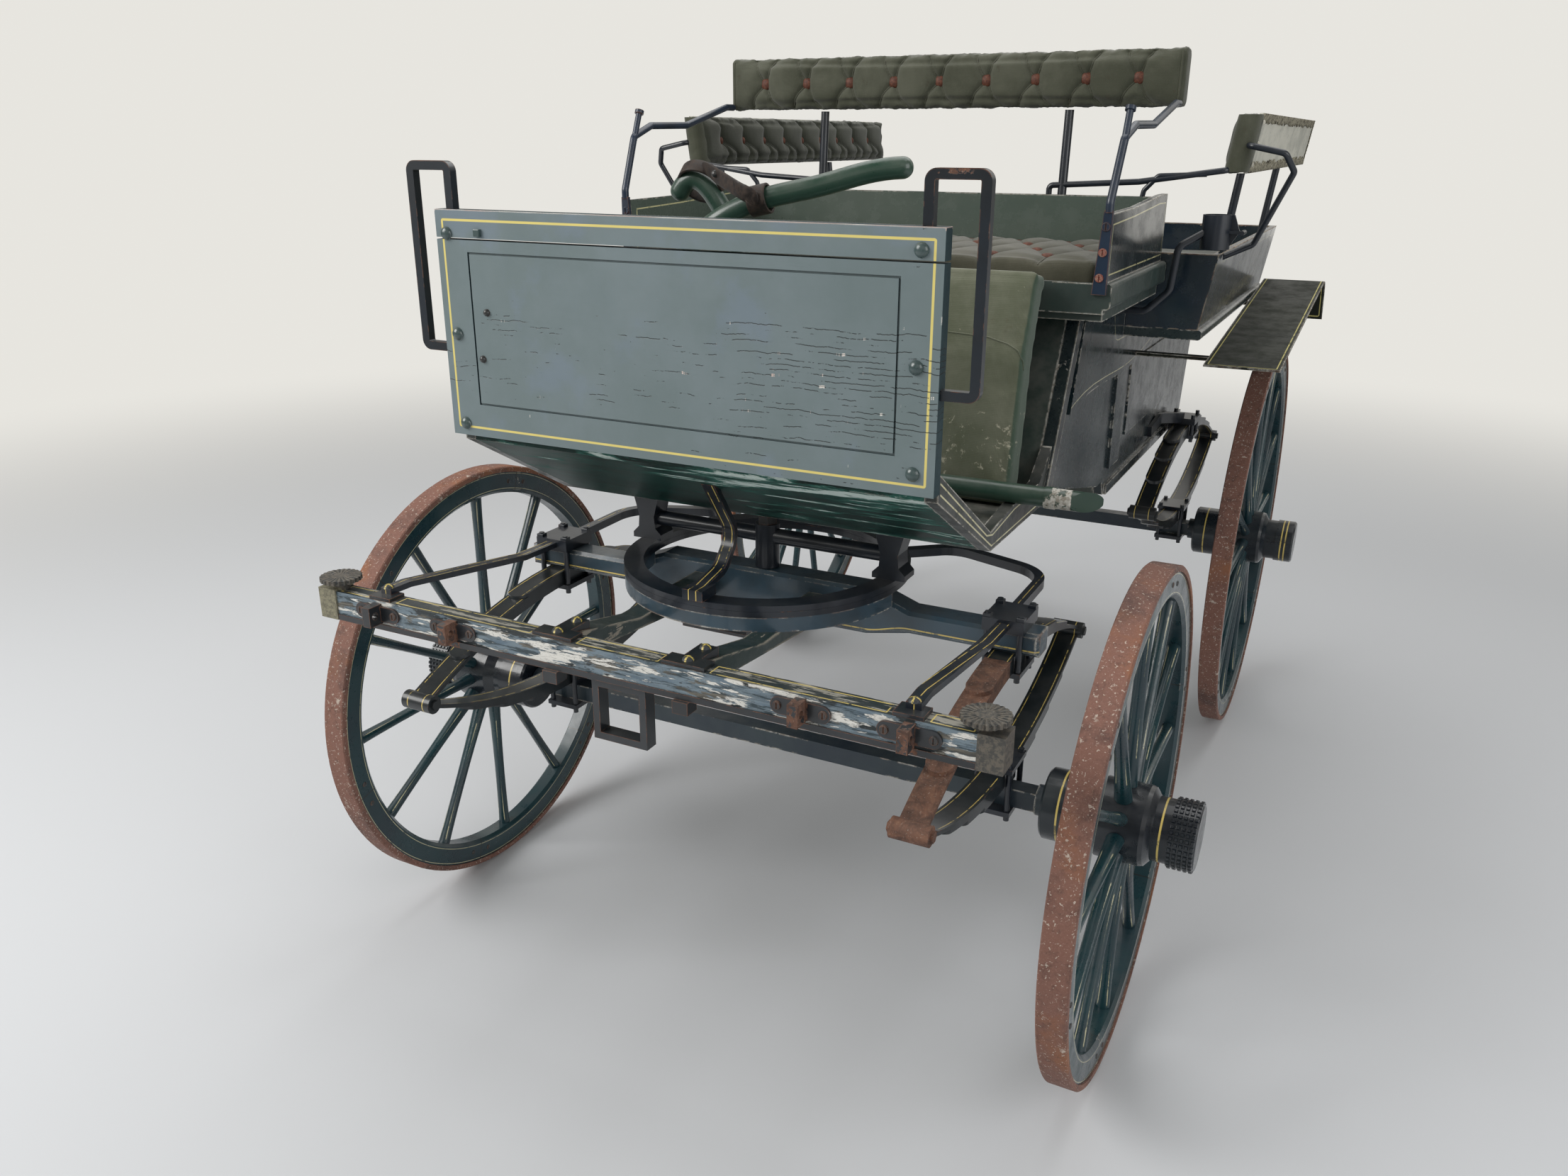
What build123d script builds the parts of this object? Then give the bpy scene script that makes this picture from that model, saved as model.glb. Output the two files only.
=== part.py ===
"""An open horse drawn break: a driver's bench over the front turntable, two facing benches behind."""

import os
from math import asin, cos, sin

from build123d import *

os.makedirs("parts", exist_ok=True)

# Frame: +X to the vehicle's left, +Y to its rear, +Z up, in millimetres.
# The origin is on the ground, midway along the vehicle.

# Wheels and axles
WHEELBASE = 1500
FRONT_AXLE_Y = -735
REAR_AXLE_Y = FRONT_AXLE_Y + WHEELBASE
FRONT_WHEEL_R = 434
REAR_WHEEL_R = 500
FRONT_HALF_TRACK = 672
REAR_HALF_TRACK = 660
FRONT_SPOKES = 12
REAR_SPOKES = 14
TYRE_WIDTH = 46
TYRE_THICK = 11
FELLOE_WIDTH = 40
FELLOE_DEPTH = 44
NAVE_R = 76
NAVE_INNER = 130
NAVE_OUTER = 122
NAVE_BARREL_R = 62
AXLE_SIDE = 34
AXLE_ARM_R = 18
AXLE_ARM_END = 60
AXLE_SHOULDER_R = 27
RUNNING_FIT = 0.05

# Elliptic springs
LEAF_WIDTH = 44
LEAF_THICK = 7
LEAF_COUNT = 4
EYE_R = 16
EYE_WIDTH = 60
EYE_BOLT_R = 9
EYE_BOLT_HEAD = 5
FRONT_SPRING_X = 453
FRONT_SPRING_HALF = 425
REAR_SPRING_X = 465
REAR_SPRING_HALF = 460
REAR_SPRING_TOP = 792
SADDLE = 11
CLIP_REACH = 34
CLIP_PLATE = 9
CLIP_CAP = 23
BOLT_R = 5

# Turntable, from the beam up
BEAM_HALF = 512
BEAM_DEPTH = 56
BEAM_END_LOW = 705
BEAM_END_HIGH = 745
BEAM_MID_LOW = 690
BEAM_CHAMFER = 6
RING_R = 257
RING_WIDTH = 35
RING_THICK = 10
RING_SLIP = 0.3
TABLE_Z = 785
CRESCENT_THICK = 25
KINGPIN_R = 11
CROSS_BAR_R = 14
CROSS_BAR_Z = 833
BOSS_R = 22
BRACKET_X = 243

# Futchells and splinter bar
FUTCHELL_X = 116
FUTCHELL_WIDTH = 40
FUTCHELL_DEPTH = 40
SOCKET_Y = FRONT_AXLE_Y - 140
SPLINTER_Y = FRONT_AXLE_Y - 465
SPLINTER_HALF = 583
SPLINTER_DEPTH = 36
SPLINTER_LOW = 748
SPLINTER_HIGH = 788
STRIP_THICK = 10
CAP_INNER = 558
CAP_OUTER = 595
CAP_WALL = 3
ROLLER_X = 562
ROLLER_R = 34
ROLLER_THICK = 7
ROLLER_NECK_R = 13
ROLLER_NECK = 12
LUG_XS = (307, 466)
LUG_WIDTH = 16
LUG_HEIGHT = 34
LUG_REACH = 28
LUG_BORE_R = 6
LUG_PLATE_HALF = 46
LUG_PLATE_THICK = 4
POLE_LOOP_LOW = 636
POLE_LOOP_WALL = 12
T_PLATE_THICK = 6

# Body
BODY_HALF = 420
BOARD = 20
THIN_BOARD = 14
FOOT_FLOOR_LOW = 875
DASH_Y = FRONT_AXLE_Y - 313
DASH_LOW = 1037
DASH_SPLIT = 1348
DASH_SPLIT_GAP = 3
DASH_TOP = 1393
DASH_HALF = 422
DASH_THICK = 24
GROOVE_HALF = 363
GROOVE_LOW = 1090
GROOVE_HIGH = 1330
GROOVE = 3
TOE_LOW_Y = FRONT_AXLE_Y - 27
HEEL_LOW_Y = FRONT_AXLE_Y + 262
HEEL_TOP_Y = FRONT_AXLE_Y + 420
BOOT_LOW = 800
BOOT_REAR_Y = FRONT_AXLE_Y + 770
SILL_LOW = 765
REAR_LOW_Y = FRONT_AXLE_Y + 1680
REAR_TOP_Y = FRONT_AXLE_Y + 1785
BENCH_LOW = 1110
NOTCH_Z = 923
NOTCH_FRONT_Z = 908
RELIEF = 6
STRIP_WIDTH = 34
PILLAR_Y = (FRONT_AXLE_Y + 792, FRONT_AXLE_Y + 884)
FIELD_Y = (FRONT_AXLE_Y + 944, FRONT_AXLE_Y + 1636)
FIELD_LOW = 866
FIELD_HIGH = 1034

# Driver's bench
DRIVER_FRONT_Y = FRONT_AXLE_Y + 325
DRIVER_REAR_Y = FRONT_AXLE_Y + 795
DRIVER_HALF = 488
DRIVER_BASE_Z = 1200
DRIVER_PAN_Z = 1222
DRIVER_SIDE_TOP = 1390
BACKREST_Y = FRONT_AXLE_Y + 770
BACKREST_HALF = 506
BACKREST_LOW = 1554
BACKREST_HIGH = 1668
BACKREST_THICK = 60
ARM_Z = 1521
DRIVER_BOARD_FRONT_TOP = 1380
DRIVER_BOARD_REAR_TOP = 1396
DRIVER_CUSHION_HALF = 472
DRIVER_CUSHION_TOP = 1306
FLAT_IRON_LOW_X = (467, 492)
FLAT_IRON_TOP_X = (477, 492)
FLAT_IRON_TOP = 1386
SIDE_IRON_X = 485

# Rear benches
BENCH_FRONT_Y = DRIVER_REAR_Y + 5
BENCH_REAR_Y = FRONT_AXLE_Y + 1790
BENCH_INNER_X = 205
BENCH_OUTER_LOW_X = 576
BENCH_OUTER_TOP_X = 600
BENCH_TOP = 1282
BENCH_MOULDING = 9
REST_X = 615
REST_LEAN = 8
REST_HALF = 20
REST_FRONT_Y = FRONT_AXLE_Y + 797
REST_REAR_Y = FRONT_AXLE_Y + 1915
REST_LOW = 1434
REST_HIGH = 1548

# Mudguards
GUARD_INNER_X = 595
GUARD_WIDTH = 150
GUARD_THICK = 4


def save(piece, name):
    """Label a finished piece and write it to its own file."""
    piece.label = name
    export_step(piece, f"parts/{name}.step")


def save_pair(piece, name):
    """Write a left hand piece and its mirror image on the right as one pair."""
    with BuildPart() as pair:
        add(piece)
        add(mirror(piece, about=Plane.YZ))
    save(pair.part, name)


def side_plane(x):
    """Plane at x whose sketch x runs rearwards and sketch y runs up."""
    return Plane(origin=(x, 0, 0), x_dir=(0, 1, 0), z_dir=(1, 0, 0))


def cross_plane(y):
    """Plane at y whose sketch x runs to the left and sketch y runs up; it extrudes forwards."""
    return Plane(origin=(0, y, 0), x_dir=(1, 0, 0), z_dir=(0, -1, 0))


def board(x_low, x_high, outline):
    """A board between two x values, cut to an outline of (y, z) corners."""
    with BuildPart() as piece:
        with BuildSketch(side_plane(x_low)):
            Polygon(*outline, align=None)
        extrude(amount=x_high - x_low)
    return piece.part


def block(low, high):
    """A plain block between two opposite corners."""
    size = [b - a for a, b in zip(low, high)]
    with BuildPart() as piece:
        with Locations(low):
            Box(*size, align=(Align.MIN, Align.MIN, Align.MIN))
    return piece.part


def rod(points, diameter, bend=20):
    """A round iron bent through its points."""
    with BuildPart() as iron:
        with BuildLine() as path:
            if len(points) > 2:
                FilletPolyline(*points, radius=bend)
            else:
                Line(*points)
        with BuildSketch(Plane(origin=path.line @ 0, z_dir=path.line % 0)):
            Circle(diameter / 2)
        sweep()
    return iron.part


def strap(points, width, thick, across, bend=20):
    """A flat iron bent through its points, its width along the direction called across."""
    with BuildPart() as iron:
        with BuildLine() as path:
            if len(points) > 2:
                FilletPolyline(*points, radius=bend)
            else:
                Line(*points)
        with BuildSketch(Plane(origin=path.line @ 0, x_dir=across, z_dir=path.line % 0)):
            Rectangle(width, thick)
        sweep()
    return iron.part


# Wheels: tyre, felloes with spokes, and nave, each with its axle line along X


def wheel(stem, side, half_track, y, radius, spokes, cap_r):
    """Write the three pieces of one wheel; side is 1 on the left and -1 on the right."""
    centre = (side * half_track, y, radius)
    face = Plane(origin=centre, x_dir=(0, 1, 0), z_dir=(side, 0, 0))
    felloe_r = radius - TYRE_THICK
    with BuildPart() as tyre:
        with BuildSketch(face):
            Circle(radius)
            Circle(felloe_r, mode=Mode.SUBTRACT)
        extrude(amount=TYRE_WIDTH / 2, both=True)
        chamfer(tyre.edges().filter_by(GeomType.CIRCLE).group_by(SortBy.RADIUS)[-1], 2)
    save(tyre.part, f"{stem}_tyre")

    # The spoke stands along X here, with its broad way along Z; columns: distance, half breadth, half width
    sections = ((NAVE_R - 8, 15, 12), (NAVE_R + 50, 13, 10), (felloe_r - FELLOE_DEPTH + 6, 12, 11))
    with BuildPart() as spoke:
        for distance, half_breadth, half_width in sections:
            with BuildSketch(Plane.YZ.offset(distance)):
                Ellipse(half_width, half_breadth)
        loft()
    with BuildPart(face) as frame:
        with BuildSketch(face):
            Circle(felloe_r)
            Circle(felloe_r - FELLOE_DEPTH, mode=Mode.SUBTRACT)
        extrude(amount=FELLOE_WIDTH / 2, both=True)
        chamfer(frame.edges().filter_by(GeomType.CIRCLE).group_by(SortBy.RADIUS)[0], 6)
        with PolarLocations(0, spokes):
            add(spoke.part)
        with BuildSketch(face):
            Circle(NAVE_R - 8)
        extrude(amount=FELLOE_WIDTH, both=True, mode=Mode.SUBTRACT)
    save(frame.part, f"{stem}_felloes")

    # Nave turned to a profile; columns: distance outwards from the wheel's middle, radius
    profile = (
        (-NAVE_INNER, NAVE_BARREL_R - 4), (4 - NAVE_INNER, NAVE_BARREL_R), (-72, NAVE_BARREL_R),
        (-72, NAVE_BARREL_R - 6), (-54, NAVE_BARREL_R - 6), (-36, NAVE_R - 8), (36, NAVE_R - 8),
        (43, NAVE_R - 10), (52, cap_r - 3), (NAVE_OUTER - 44, cap_r - 3), (NAVE_OUTER - 44, cap_r),
        (NAVE_OUTER - 4, cap_r), (NAVE_OUTER, cap_r - 4),
    )
    section = Plane(origin=centre, x_dir=(side, 0, 0), z_dir=(0, -side, 0))
    with BuildPart() as nave:
        with BuildSketch(section):
            Polygon((-NAVE_INNER, 0), *profile, (NAVE_OUTER, 0), align=None)
        revolve(axis=Axis(centre, (1, 0, 0)))
        with BuildSketch(face.offset(-NAVE_INNER)):
            Circle(AXLE_ARM_R + RUNNING_FIT)
        extrude(amount=NAVE_INNER + AXLE_ARM_END + 2, mode=Mode.SUBTRACT)
    save(nave.part, f"{stem}_nave")


WHEELS = (
    ("front_left", 1, FRONT_HALF_TRACK, FRONT_AXLE_Y, FRONT_WHEEL_R, FRONT_SPOKES, 57),
    ("front_right", -1, FRONT_HALF_TRACK, FRONT_AXLE_Y, FRONT_WHEEL_R, FRONT_SPOKES, 57),
    ("rear_left", 1, REAR_HALF_TRACK, REAR_AXLE_Y, REAR_WHEEL_R, REAR_SPOKES, 54),
    ("rear_right", -1, REAR_HALF_TRACK, REAR_AXLE_Y, REAR_WHEEL_R, REAR_SPOKES, 54),
)
for row in WHEELS:
    wheel(*row)


def axle(name, y, radius, half_track):
    """A square axle bed with a round arm in each nave and a shoulder just clear of it."""
    nave_face = half_track - NAVE_INNER
    shoulder = nave_face - 1
    with BuildPart() as bed:
        with Locations((0, y, radius)):
            Box(2 * (shoulder - 16), AXLE_SIDE, AXLE_SIDE)
        for side in (-1, 1):
            with BuildSketch(Plane(origin=(side * (shoulder - 16), y, radius), z_dir=(side, 0, 0))):
                Circle(AXLE_SHOULDER_R)
            extrude(amount=16)
            with BuildSketch(Plane(origin=(side * shoulder, y, radius), z_dir=(side, 0, 0))):
                Circle(AXLE_ARM_R)
            extrude(amount=NAVE_INNER + AXLE_ARM_END + 1)
    save(bed.part, name)


axle("front_axle", FRONT_AXLE_Y, FRONT_WHEEL_R, FRONT_HALF_TRACK)
axle("rear_axle", REAR_AXLE_Y, REAR_WHEEL_R, REAR_HALF_TRACK)

# Springs: two packs of leaves bowed apart, hinged at their eyes

PACK = LEAF_COUNT * LEAF_THICK


def elliptic_spring(x, y, low, high, half_length):
    """A full elliptic spring that fills low to high at its middle."""
    eye_z = (low + high) / 2
    rise = high - PACK - eye_z
    inner_r = (half_length**2 + rise**2) / (2 * rise)
    with BuildPart() as spring:
        for way in (1, -1):
            for leaf in range(LEAF_COUNT):
                reach = half_length * (1 - 0.2 * leaf)
                rim = inner_r + leaf * LEAF_THICK
                swing = asin(reach / rim)
                centre_z = way * (rise - inner_r)
                arcs = []
                for edge_r in (rim, rim + LEAF_THICK):
                    arcs.append([(edge_r * sin(a), centre_z + way * edge_r * cos(a)) for a in (-swing, 0, swing)])
                with BuildPart() as one_leaf:
                    with BuildSketch(Plane(origin=(x, y, eye_z), x_dir=(0, 1, 0), z_dir=(1, 0, 0))):
                        with BuildLine():
                            ThreePointArc(*arcs[0])
                            Line(arcs[0][2], arcs[1][2])
                            ThreePointArc(*arcs[1])
                            Line(arcs[1][0], arcs[0][0])
                        make_face()
                    extrude(amount=LEAF_WIDTH / 2, both=True)
                    if leaf:
                        with BuildSketch(Plane(origin=(x, y, low - SADDLE), z_dir=(0, 0, 1))):
                            SlotOverall(2 * reach - LEAF_THICK, LEAF_WIDTH, rotation=90)
                        extrude(amount=high - low + 2 * SADDLE, mode=Mode.INTERSECT)
                add(one_leaf.part)
        eye_plane = Plane(origin=(x, y, eye_z), x_dir=(0, 1, 0), z_dir=(1, 0, 0))
        with BuildSketch(eye_plane):
            with Locations((-half_length, 0), (half_length, 0)):
                Circle(EYE_R)
        extrude(amount=EYE_WIDTH / 2, both=True)
        with BuildSketch(eye_plane):
            with Locations((-half_length, 0), (half_length, 0)):
                RegularPolygon(EYE_BOLT_R, 6)
        extrude(amount=EYE_WIDTH / 2 + EYE_BOLT_HEAD, both=True)
    return spring.part


FRONT_SPRING_LOW = FRONT_WHEEL_R + AXLE_SIDE / 2 + SADDLE
REAR_SPRING_LOW = REAR_WHEEL_R + AXLE_SIDE / 2 + SADDLE
front_spring = elliptic_spring(FRONT_SPRING_X, FRONT_AXLE_Y, FRONT_SPRING_LOW, BEAM_END_LOW, FRONT_SPRING_HALF)
rear_spring = elliptic_spring(REAR_SPRING_X, REAR_AXLE_Y, REAR_SPRING_LOW, REAR_SPRING_TOP, REAR_SPRING_HALF)
save_pair(front_spring, "front_springs")
save_pair(rear_spring, "rear_springs")


def clip_bolts(x, y, low, high):
    """The four bolts of a spring clip, outside the leaves and the axle or beam they hold."""
    with BuildPart() as bolts:
        with BuildSketch(Plane(origin=(x, y, low), z_dir=(0, 0, 1))):
            with GridLocations(2 * (LEAF_WIDTH / 2 + BOLT_R + 1), 2 * CLIP_REACH, 2, 2):
                Circle(BOLT_R)
        extrude(amount=high - low)
    return bolts.part


def clip_plate(x, y, low, high):
    """A plate of a spring clip, wide enough for its bolts."""
    half_x = LEAF_WIDTH / 2 + 2 * BOLT_R + 3
    half_y = CLIP_REACH + BOLT_R + 3
    return block((x - half_x, y - half_y, low), (x + half_x, y + half_y, high))


def spring_clip(x, y, low, high, held_low, held_high, cap):
    """Plates below and above a stack of leaves and bar, joined by four bolts."""
    with BuildPart() as clip:
        add(clip_plate(x, y, held_low - CLIP_PLATE, held_low))
        add(clip_plate(x, y, held_high, held_high + cap))
        add(clip_bolts(x, y, low, high))
    return clip.part


def axle_clip(x, y, axle_z, spring):
    """The clip that holds a spring's lower leaves on a saddle over the axle."""
    bed_low = axle_z - AXLE_SIDE / 2
    bed_high = axle_z + AXLE_SIDE / 2
    pack_high = bed_high + SADDLE + PACK
    with BuildPart() as clip:
        add(spring_clip(x, y, bed_low - 18, pack_high + 16, bed_low, pack_high, CLIP_PLATE))
        add(block(
            (x - LEAF_WIDTH / 2, y - CLIP_REACH + BOLT_R, bed_high),
            (x + LEAF_WIDTH / 2, y + CLIP_REACH - BOLT_R, bed_high + SADDLE),
        ))
        add(spring, mode=Mode.SUBTRACT)
    return clip.part


# Axle clips hold the lower leaves over a saddle; beam clips hold the upper leaves under the beam
with BuildPart() as front_clips:
    pack_low = BEAM_END_LOW - PACK
    cap_high = BEAM_END_HIGH + CLIP_CAP + 8
    add(axle_clip(FRONT_SPRING_X, FRONT_AXLE_Y, FRONT_WHEEL_R, front_spring))
    add(spring_clip(FRONT_SPRING_X, FRONT_AXLE_Y, pack_low - 18, cap_high, pack_low, BEAM_END_HIGH, CLIP_CAP))
    add(front_spring, mode=Mode.SUBTRACT)
save_pair(front_clips.part, "front_spring_clips")

# Turntable, lower half: beam with its hump, wooden crescent and ring, which all steer

LOWER_RING_LOW = TABLE_Z - RING_THICK
CRESCENT_LOW = LOWER_RING_LOW - CRESCENT_THICK
BEAM_FRONT_Y = FRONT_AXLE_Y - BEAM_DEPTH / 2
UPPER_RING_LOW = TABLE_Z + RING_SLIP
HUMP_HALF = RING_R - 52
HUMP_FOOT = RING_R + 28
with BuildPart() as beam:
    with BuildSketch(cross_plane(FRONT_AXLE_Y)):
        Polygon(
            (-BEAM_HALF, BEAM_END_LOW), (-HUMP_FOOT, BEAM_END_LOW), (-HUMP_HALF, BEAM_MID_LOW),
            (HUMP_HALF, BEAM_MID_LOW), (HUMP_FOOT, BEAM_END_LOW), (BEAM_HALF, BEAM_END_LOW),
            (BEAM_HALF, BEAM_END_HIGH), (HUMP_FOOT, BEAM_END_HIGH), (HUMP_HALF, LOWER_RING_LOW - 1),
            (-HUMP_HALF, LOWER_RING_LOW - 1), (-HUMP_FOOT, BEAM_END_HIGH), (-BEAM_HALF, BEAM_END_HIGH),
            align=None,
        )
    extrude(amount=BEAM_DEPTH / 2, both=True)
    chamfer(beam.faces().filter_by(Axis.Y).edges(), BEAM_CHAMFER)
    with BuildSketch(Plane(origin=(0, FRONT_AXLE_Y, BEAM_MID_LOW), z_dir=(0, 0, 1))):
        Circle(KINGPIN_R + RUNNING_FIT)
    extrude(amount=LOWER_RING_LOW, mode=Mode.SUBTRACT)
save(beam.part, "turntable_beam")

with BuildPart() as crescent:
    with BuildSketch(Plane(origin=(0, FRONT_AXLE_Y, CRESCENT_LOW), z_dir=(0, 0, 1))):
        Circle(RING_R - 1)
        Circle(RING_R - RING_WIDTH + 3, mode=Mode.SUBTRACT)
        with Locations((0, RING_R - BEAM_DEPTH / 2)):
            Rectangle(2 * RING_R, 2 * RING_R, mode=Mode.SUBTRACT)
    extrude(amount=CRESCENT_THICK)
save(crescent.part, "turntable_crescent")


def ring(name, low, thick):
    """One of the two flat iron rings that slide on each other."""
    with BuildPart() as band:
        with BuildSketch(Plane(origin=(0, FRONT_AXLE_Y, low), z_dir=(0, 0, 1))):
            Circle(RING_R)
            Circle(RING_R - RING_WIDTH, mode=Mode.SUBTRACT)
        extrude(amount=thick)
    return band.part


save(ring("turntable_ring_lower", LOWER_RING_LOW, RING_THICK), "turntable_ring_lower")
save(ring("turntable_ring_upper", UPPER_RING_LOW, RING_THICK), "turntable_ring_upper")

# Cross bar with the kingpin boss and the brackets that carry the body on the upper ring
UPPER_RING_TOP = UPPER_RING_LOW + RING_THICK
BRACKET_FOOT = 60
BRACKET_DEPTH = 44
with BuildPart() as cross_bar:
    with BuildSketch(Plane(origin=(-BRACKET_X, FRONT_AXLE_Y, CROSS_BAR_Z), z_dir=(1, 0, 0))):
        Circle(CROSS_BAR_R)
    extrude(amount=2 * BRACKET_X)
    with BuildSketch(Plane(origin=(0, FRONT_AXLE_Y, LOWER_RING_LOW + 1), z_dir=(0, 0, 1))):
        Circle(BOSS_R)
    extrude(amount=CROSS_BAR_Z + 22 - LOWER_RING_LOW)
    with BuildSketch(cross_plane(FRONT_AXLE_Y)):
        for side in (-1, 1):
            with Locations((side * BRACKET_X, UPPER_RING_TOP)):
                Polygon(
                    (-BRACKET_FOOT / 2, 0), (BRACKET_FOOT / 2, 0), (BRACKET_FOOT / 2, 10), (18, 22),
                    (16, 44), (26, FOOT_FLOOR_LOW - UPPER_RING_TOP), (-26, FOOT_FLOOR_LOW - UPPER_RING_TOP),
                    (-16, 44), (-18, 22), (-BRACKET_FOOT / 2, 10), align=None,
                )
    extrude(amount=BRACKET_DEPTH / 2, both=True)
    with BuildSketch(Plane(origin=(0, FRONT_AXLE_Y, LOWER_RING_LOW), z_dir=(0, 0, 1))):
        Circle(KINGPIN_R)
    extrude(amount=CROSS_BAR_Z + 40 - LOWER_RING_LOW, mode=Mode.SUBTRACT)
save(cross_bar.part, "turntable_cross_bar")

with BuildPart() as kingpin:
    with BuildSketch(Plane(origin=(0, FRONT_AXLE_Y, BEAM_MID_LOW - 20), z_dir=(0, 0, 1))):
        Circle(KINGPIN_R)
    extrude(amount=CROSS_BAR_Z + 24 - BEAM_MID_LOW + 20)
    with BuildSketch(Plane(origin=(0, FRONT_AXLE_Y, CROSS_BAR_Z + 23), z_dir=(0, 0, 1))):
        RegularPolygon(KINGPIN_R + 7, 6)
    extrude(amount=14)
    with BuildSketch(Plane(origin=(0, FRONT_AXLE_Y, BEAM_MID_LOW - 14), z_dir=(0, 0, 1))):
        RegularPolygon(KINGPIN_R + 7, 6)
    extrude(amount=12)
save(kingpin.part, "kingpin")

# Front stay: a bowed iron from the toe board down to a clip on the upper ring
TOE_SLOPE = (DASH_LOW - FOOT_FLOOR_LOW) / (TOE_LOW_Y - DASH_Y)
TOE_OUTLINE = [
    (DASH_Y + DASH_THICK, DASH_LOW - TOE_SLOPE * DASH_THICK), (TOE_LOW_Y, FOOT_FLOOR_LOW),
    (TOE_LOW_Y + 5, FOOT_FLOOR_LOW + BOARD), (DASH_Y + DASH_THICK, DASH_LOW - TOE_SLOPE * DASH_THICK + BOARD + 4),
]
STAY_TOP_Y = FRONT_AXLE_Y - 196
STAY_TOP_Z = DASH_LOW - TOE_SLOPE * (STAY_TOP_Y - DASH_Y)
STAY_FOOT_Y = FRONT_AXLE_Y - RING_R + RING_WIDTH / 2
with BuildPart() as stay:
    add(strap(
        [
            (0, STAY_FOOT_Y, UPPER_RING_TOP + 12), (0, FRONT_AXLE_Y - 170, UPPER_RING_TOP + 26),
            (0, FRONT_AXLE_Y - 124, 872), (0, STAY_TOP_Y - 6, STAY_TOP_Z + 8),
        ],
        24, 10, (1, 0, 0), 40,
    ))
    with Locations((0, STAY_FOOT_Y, UPPER_RING_TOP + 9)):
        Box(38, 44, 18)
    add(board(-50, 50, TOE_OUTLINE), mode=Mode.SUBTRACT)
save(stay.part, "front_stay")

# Futchells from the beam to the splinter bar, and the splinter bar with its irons

SPLINTER_REAR_Y = SPLINTER_Y + SPLINTER_DEPTH / 2
SPLINTER_FRONT_Y = SPLINTER_Y - SPLINTER_DEPTH / 2
with BuildPart() as futchell_pair:
    for side in (-1, 1):
        add(board(side * FUTCHELL_X - FUTCHELL_WIDTH / 2, side * FUTCHELL_X + FUTCHELL_WIDTH / 2, [
            (SPLINTER_REAR_Y, SPLINTER_HIGH - FUTCHELL_DEPTH), (BEAM_FRONT_Y, CRESCENT_LOW - FUTCHELL_DEPTH),
            (BEAM_FRONT_Y, CRESCENT_LOW), (FRONT_AXLE_Y - RING_R - 10, CRESCENT_LOW), (SPLINTER_REAR_Y, SPLINTER_HIGH),
        ]))
futchells = futchell_pair.part
save(futchells, "futchells")
splinter_bar = block((-SPLINTER_HALF, SPLINTER_FRONT_Y, SPLINTER_LOW), (SPLINTER_HALF, SPLINTER_REAR_Y, SPLINTER_HIGH))
save(splinter_bar, "splinter_bar")

strip_low = SPLINTER_LOW - STRIP_THICK
with BuildPart() as bar_end:
    add(block(
        (CAP_INNER, SPLINTER_FRONT_Y - CAP_WALL, strip_low), (CAP_OUTER, SPLINTER_REAR_Y + CAP_WALL, SPLINTER_HIGH + CAP_WALL)
    ))
    add(splinter_bar, mode=Mode.SUBTRACT)
    with BuildSketch(Plane(origin=(ROLLER_X, SPLINTER_Y, SPLINTER_HIGH), z_dir=(0, 0, 1))):
        Circle(ROLLER_NECK_R)
    extrude(amount=ROLLER_NECK + CAP_WALL)
    with BuildSketch(Plane(origin=(ROLLER_X, SPLINTER_Y, SPLINTER_HIGH + CAP_WALL + ROLLER_NECK), z_dir=(0, 0, 1))):
        Circle(ROLLER_R)
        with PolarLocations(ROLLER_R + 1, 24):
            Circle(2.6, mode=Mode.SUBTRACT)
    extrude(amount=ROLLER_THICK)
save_pair(bar_end.part, "roller_bolts")

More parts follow.
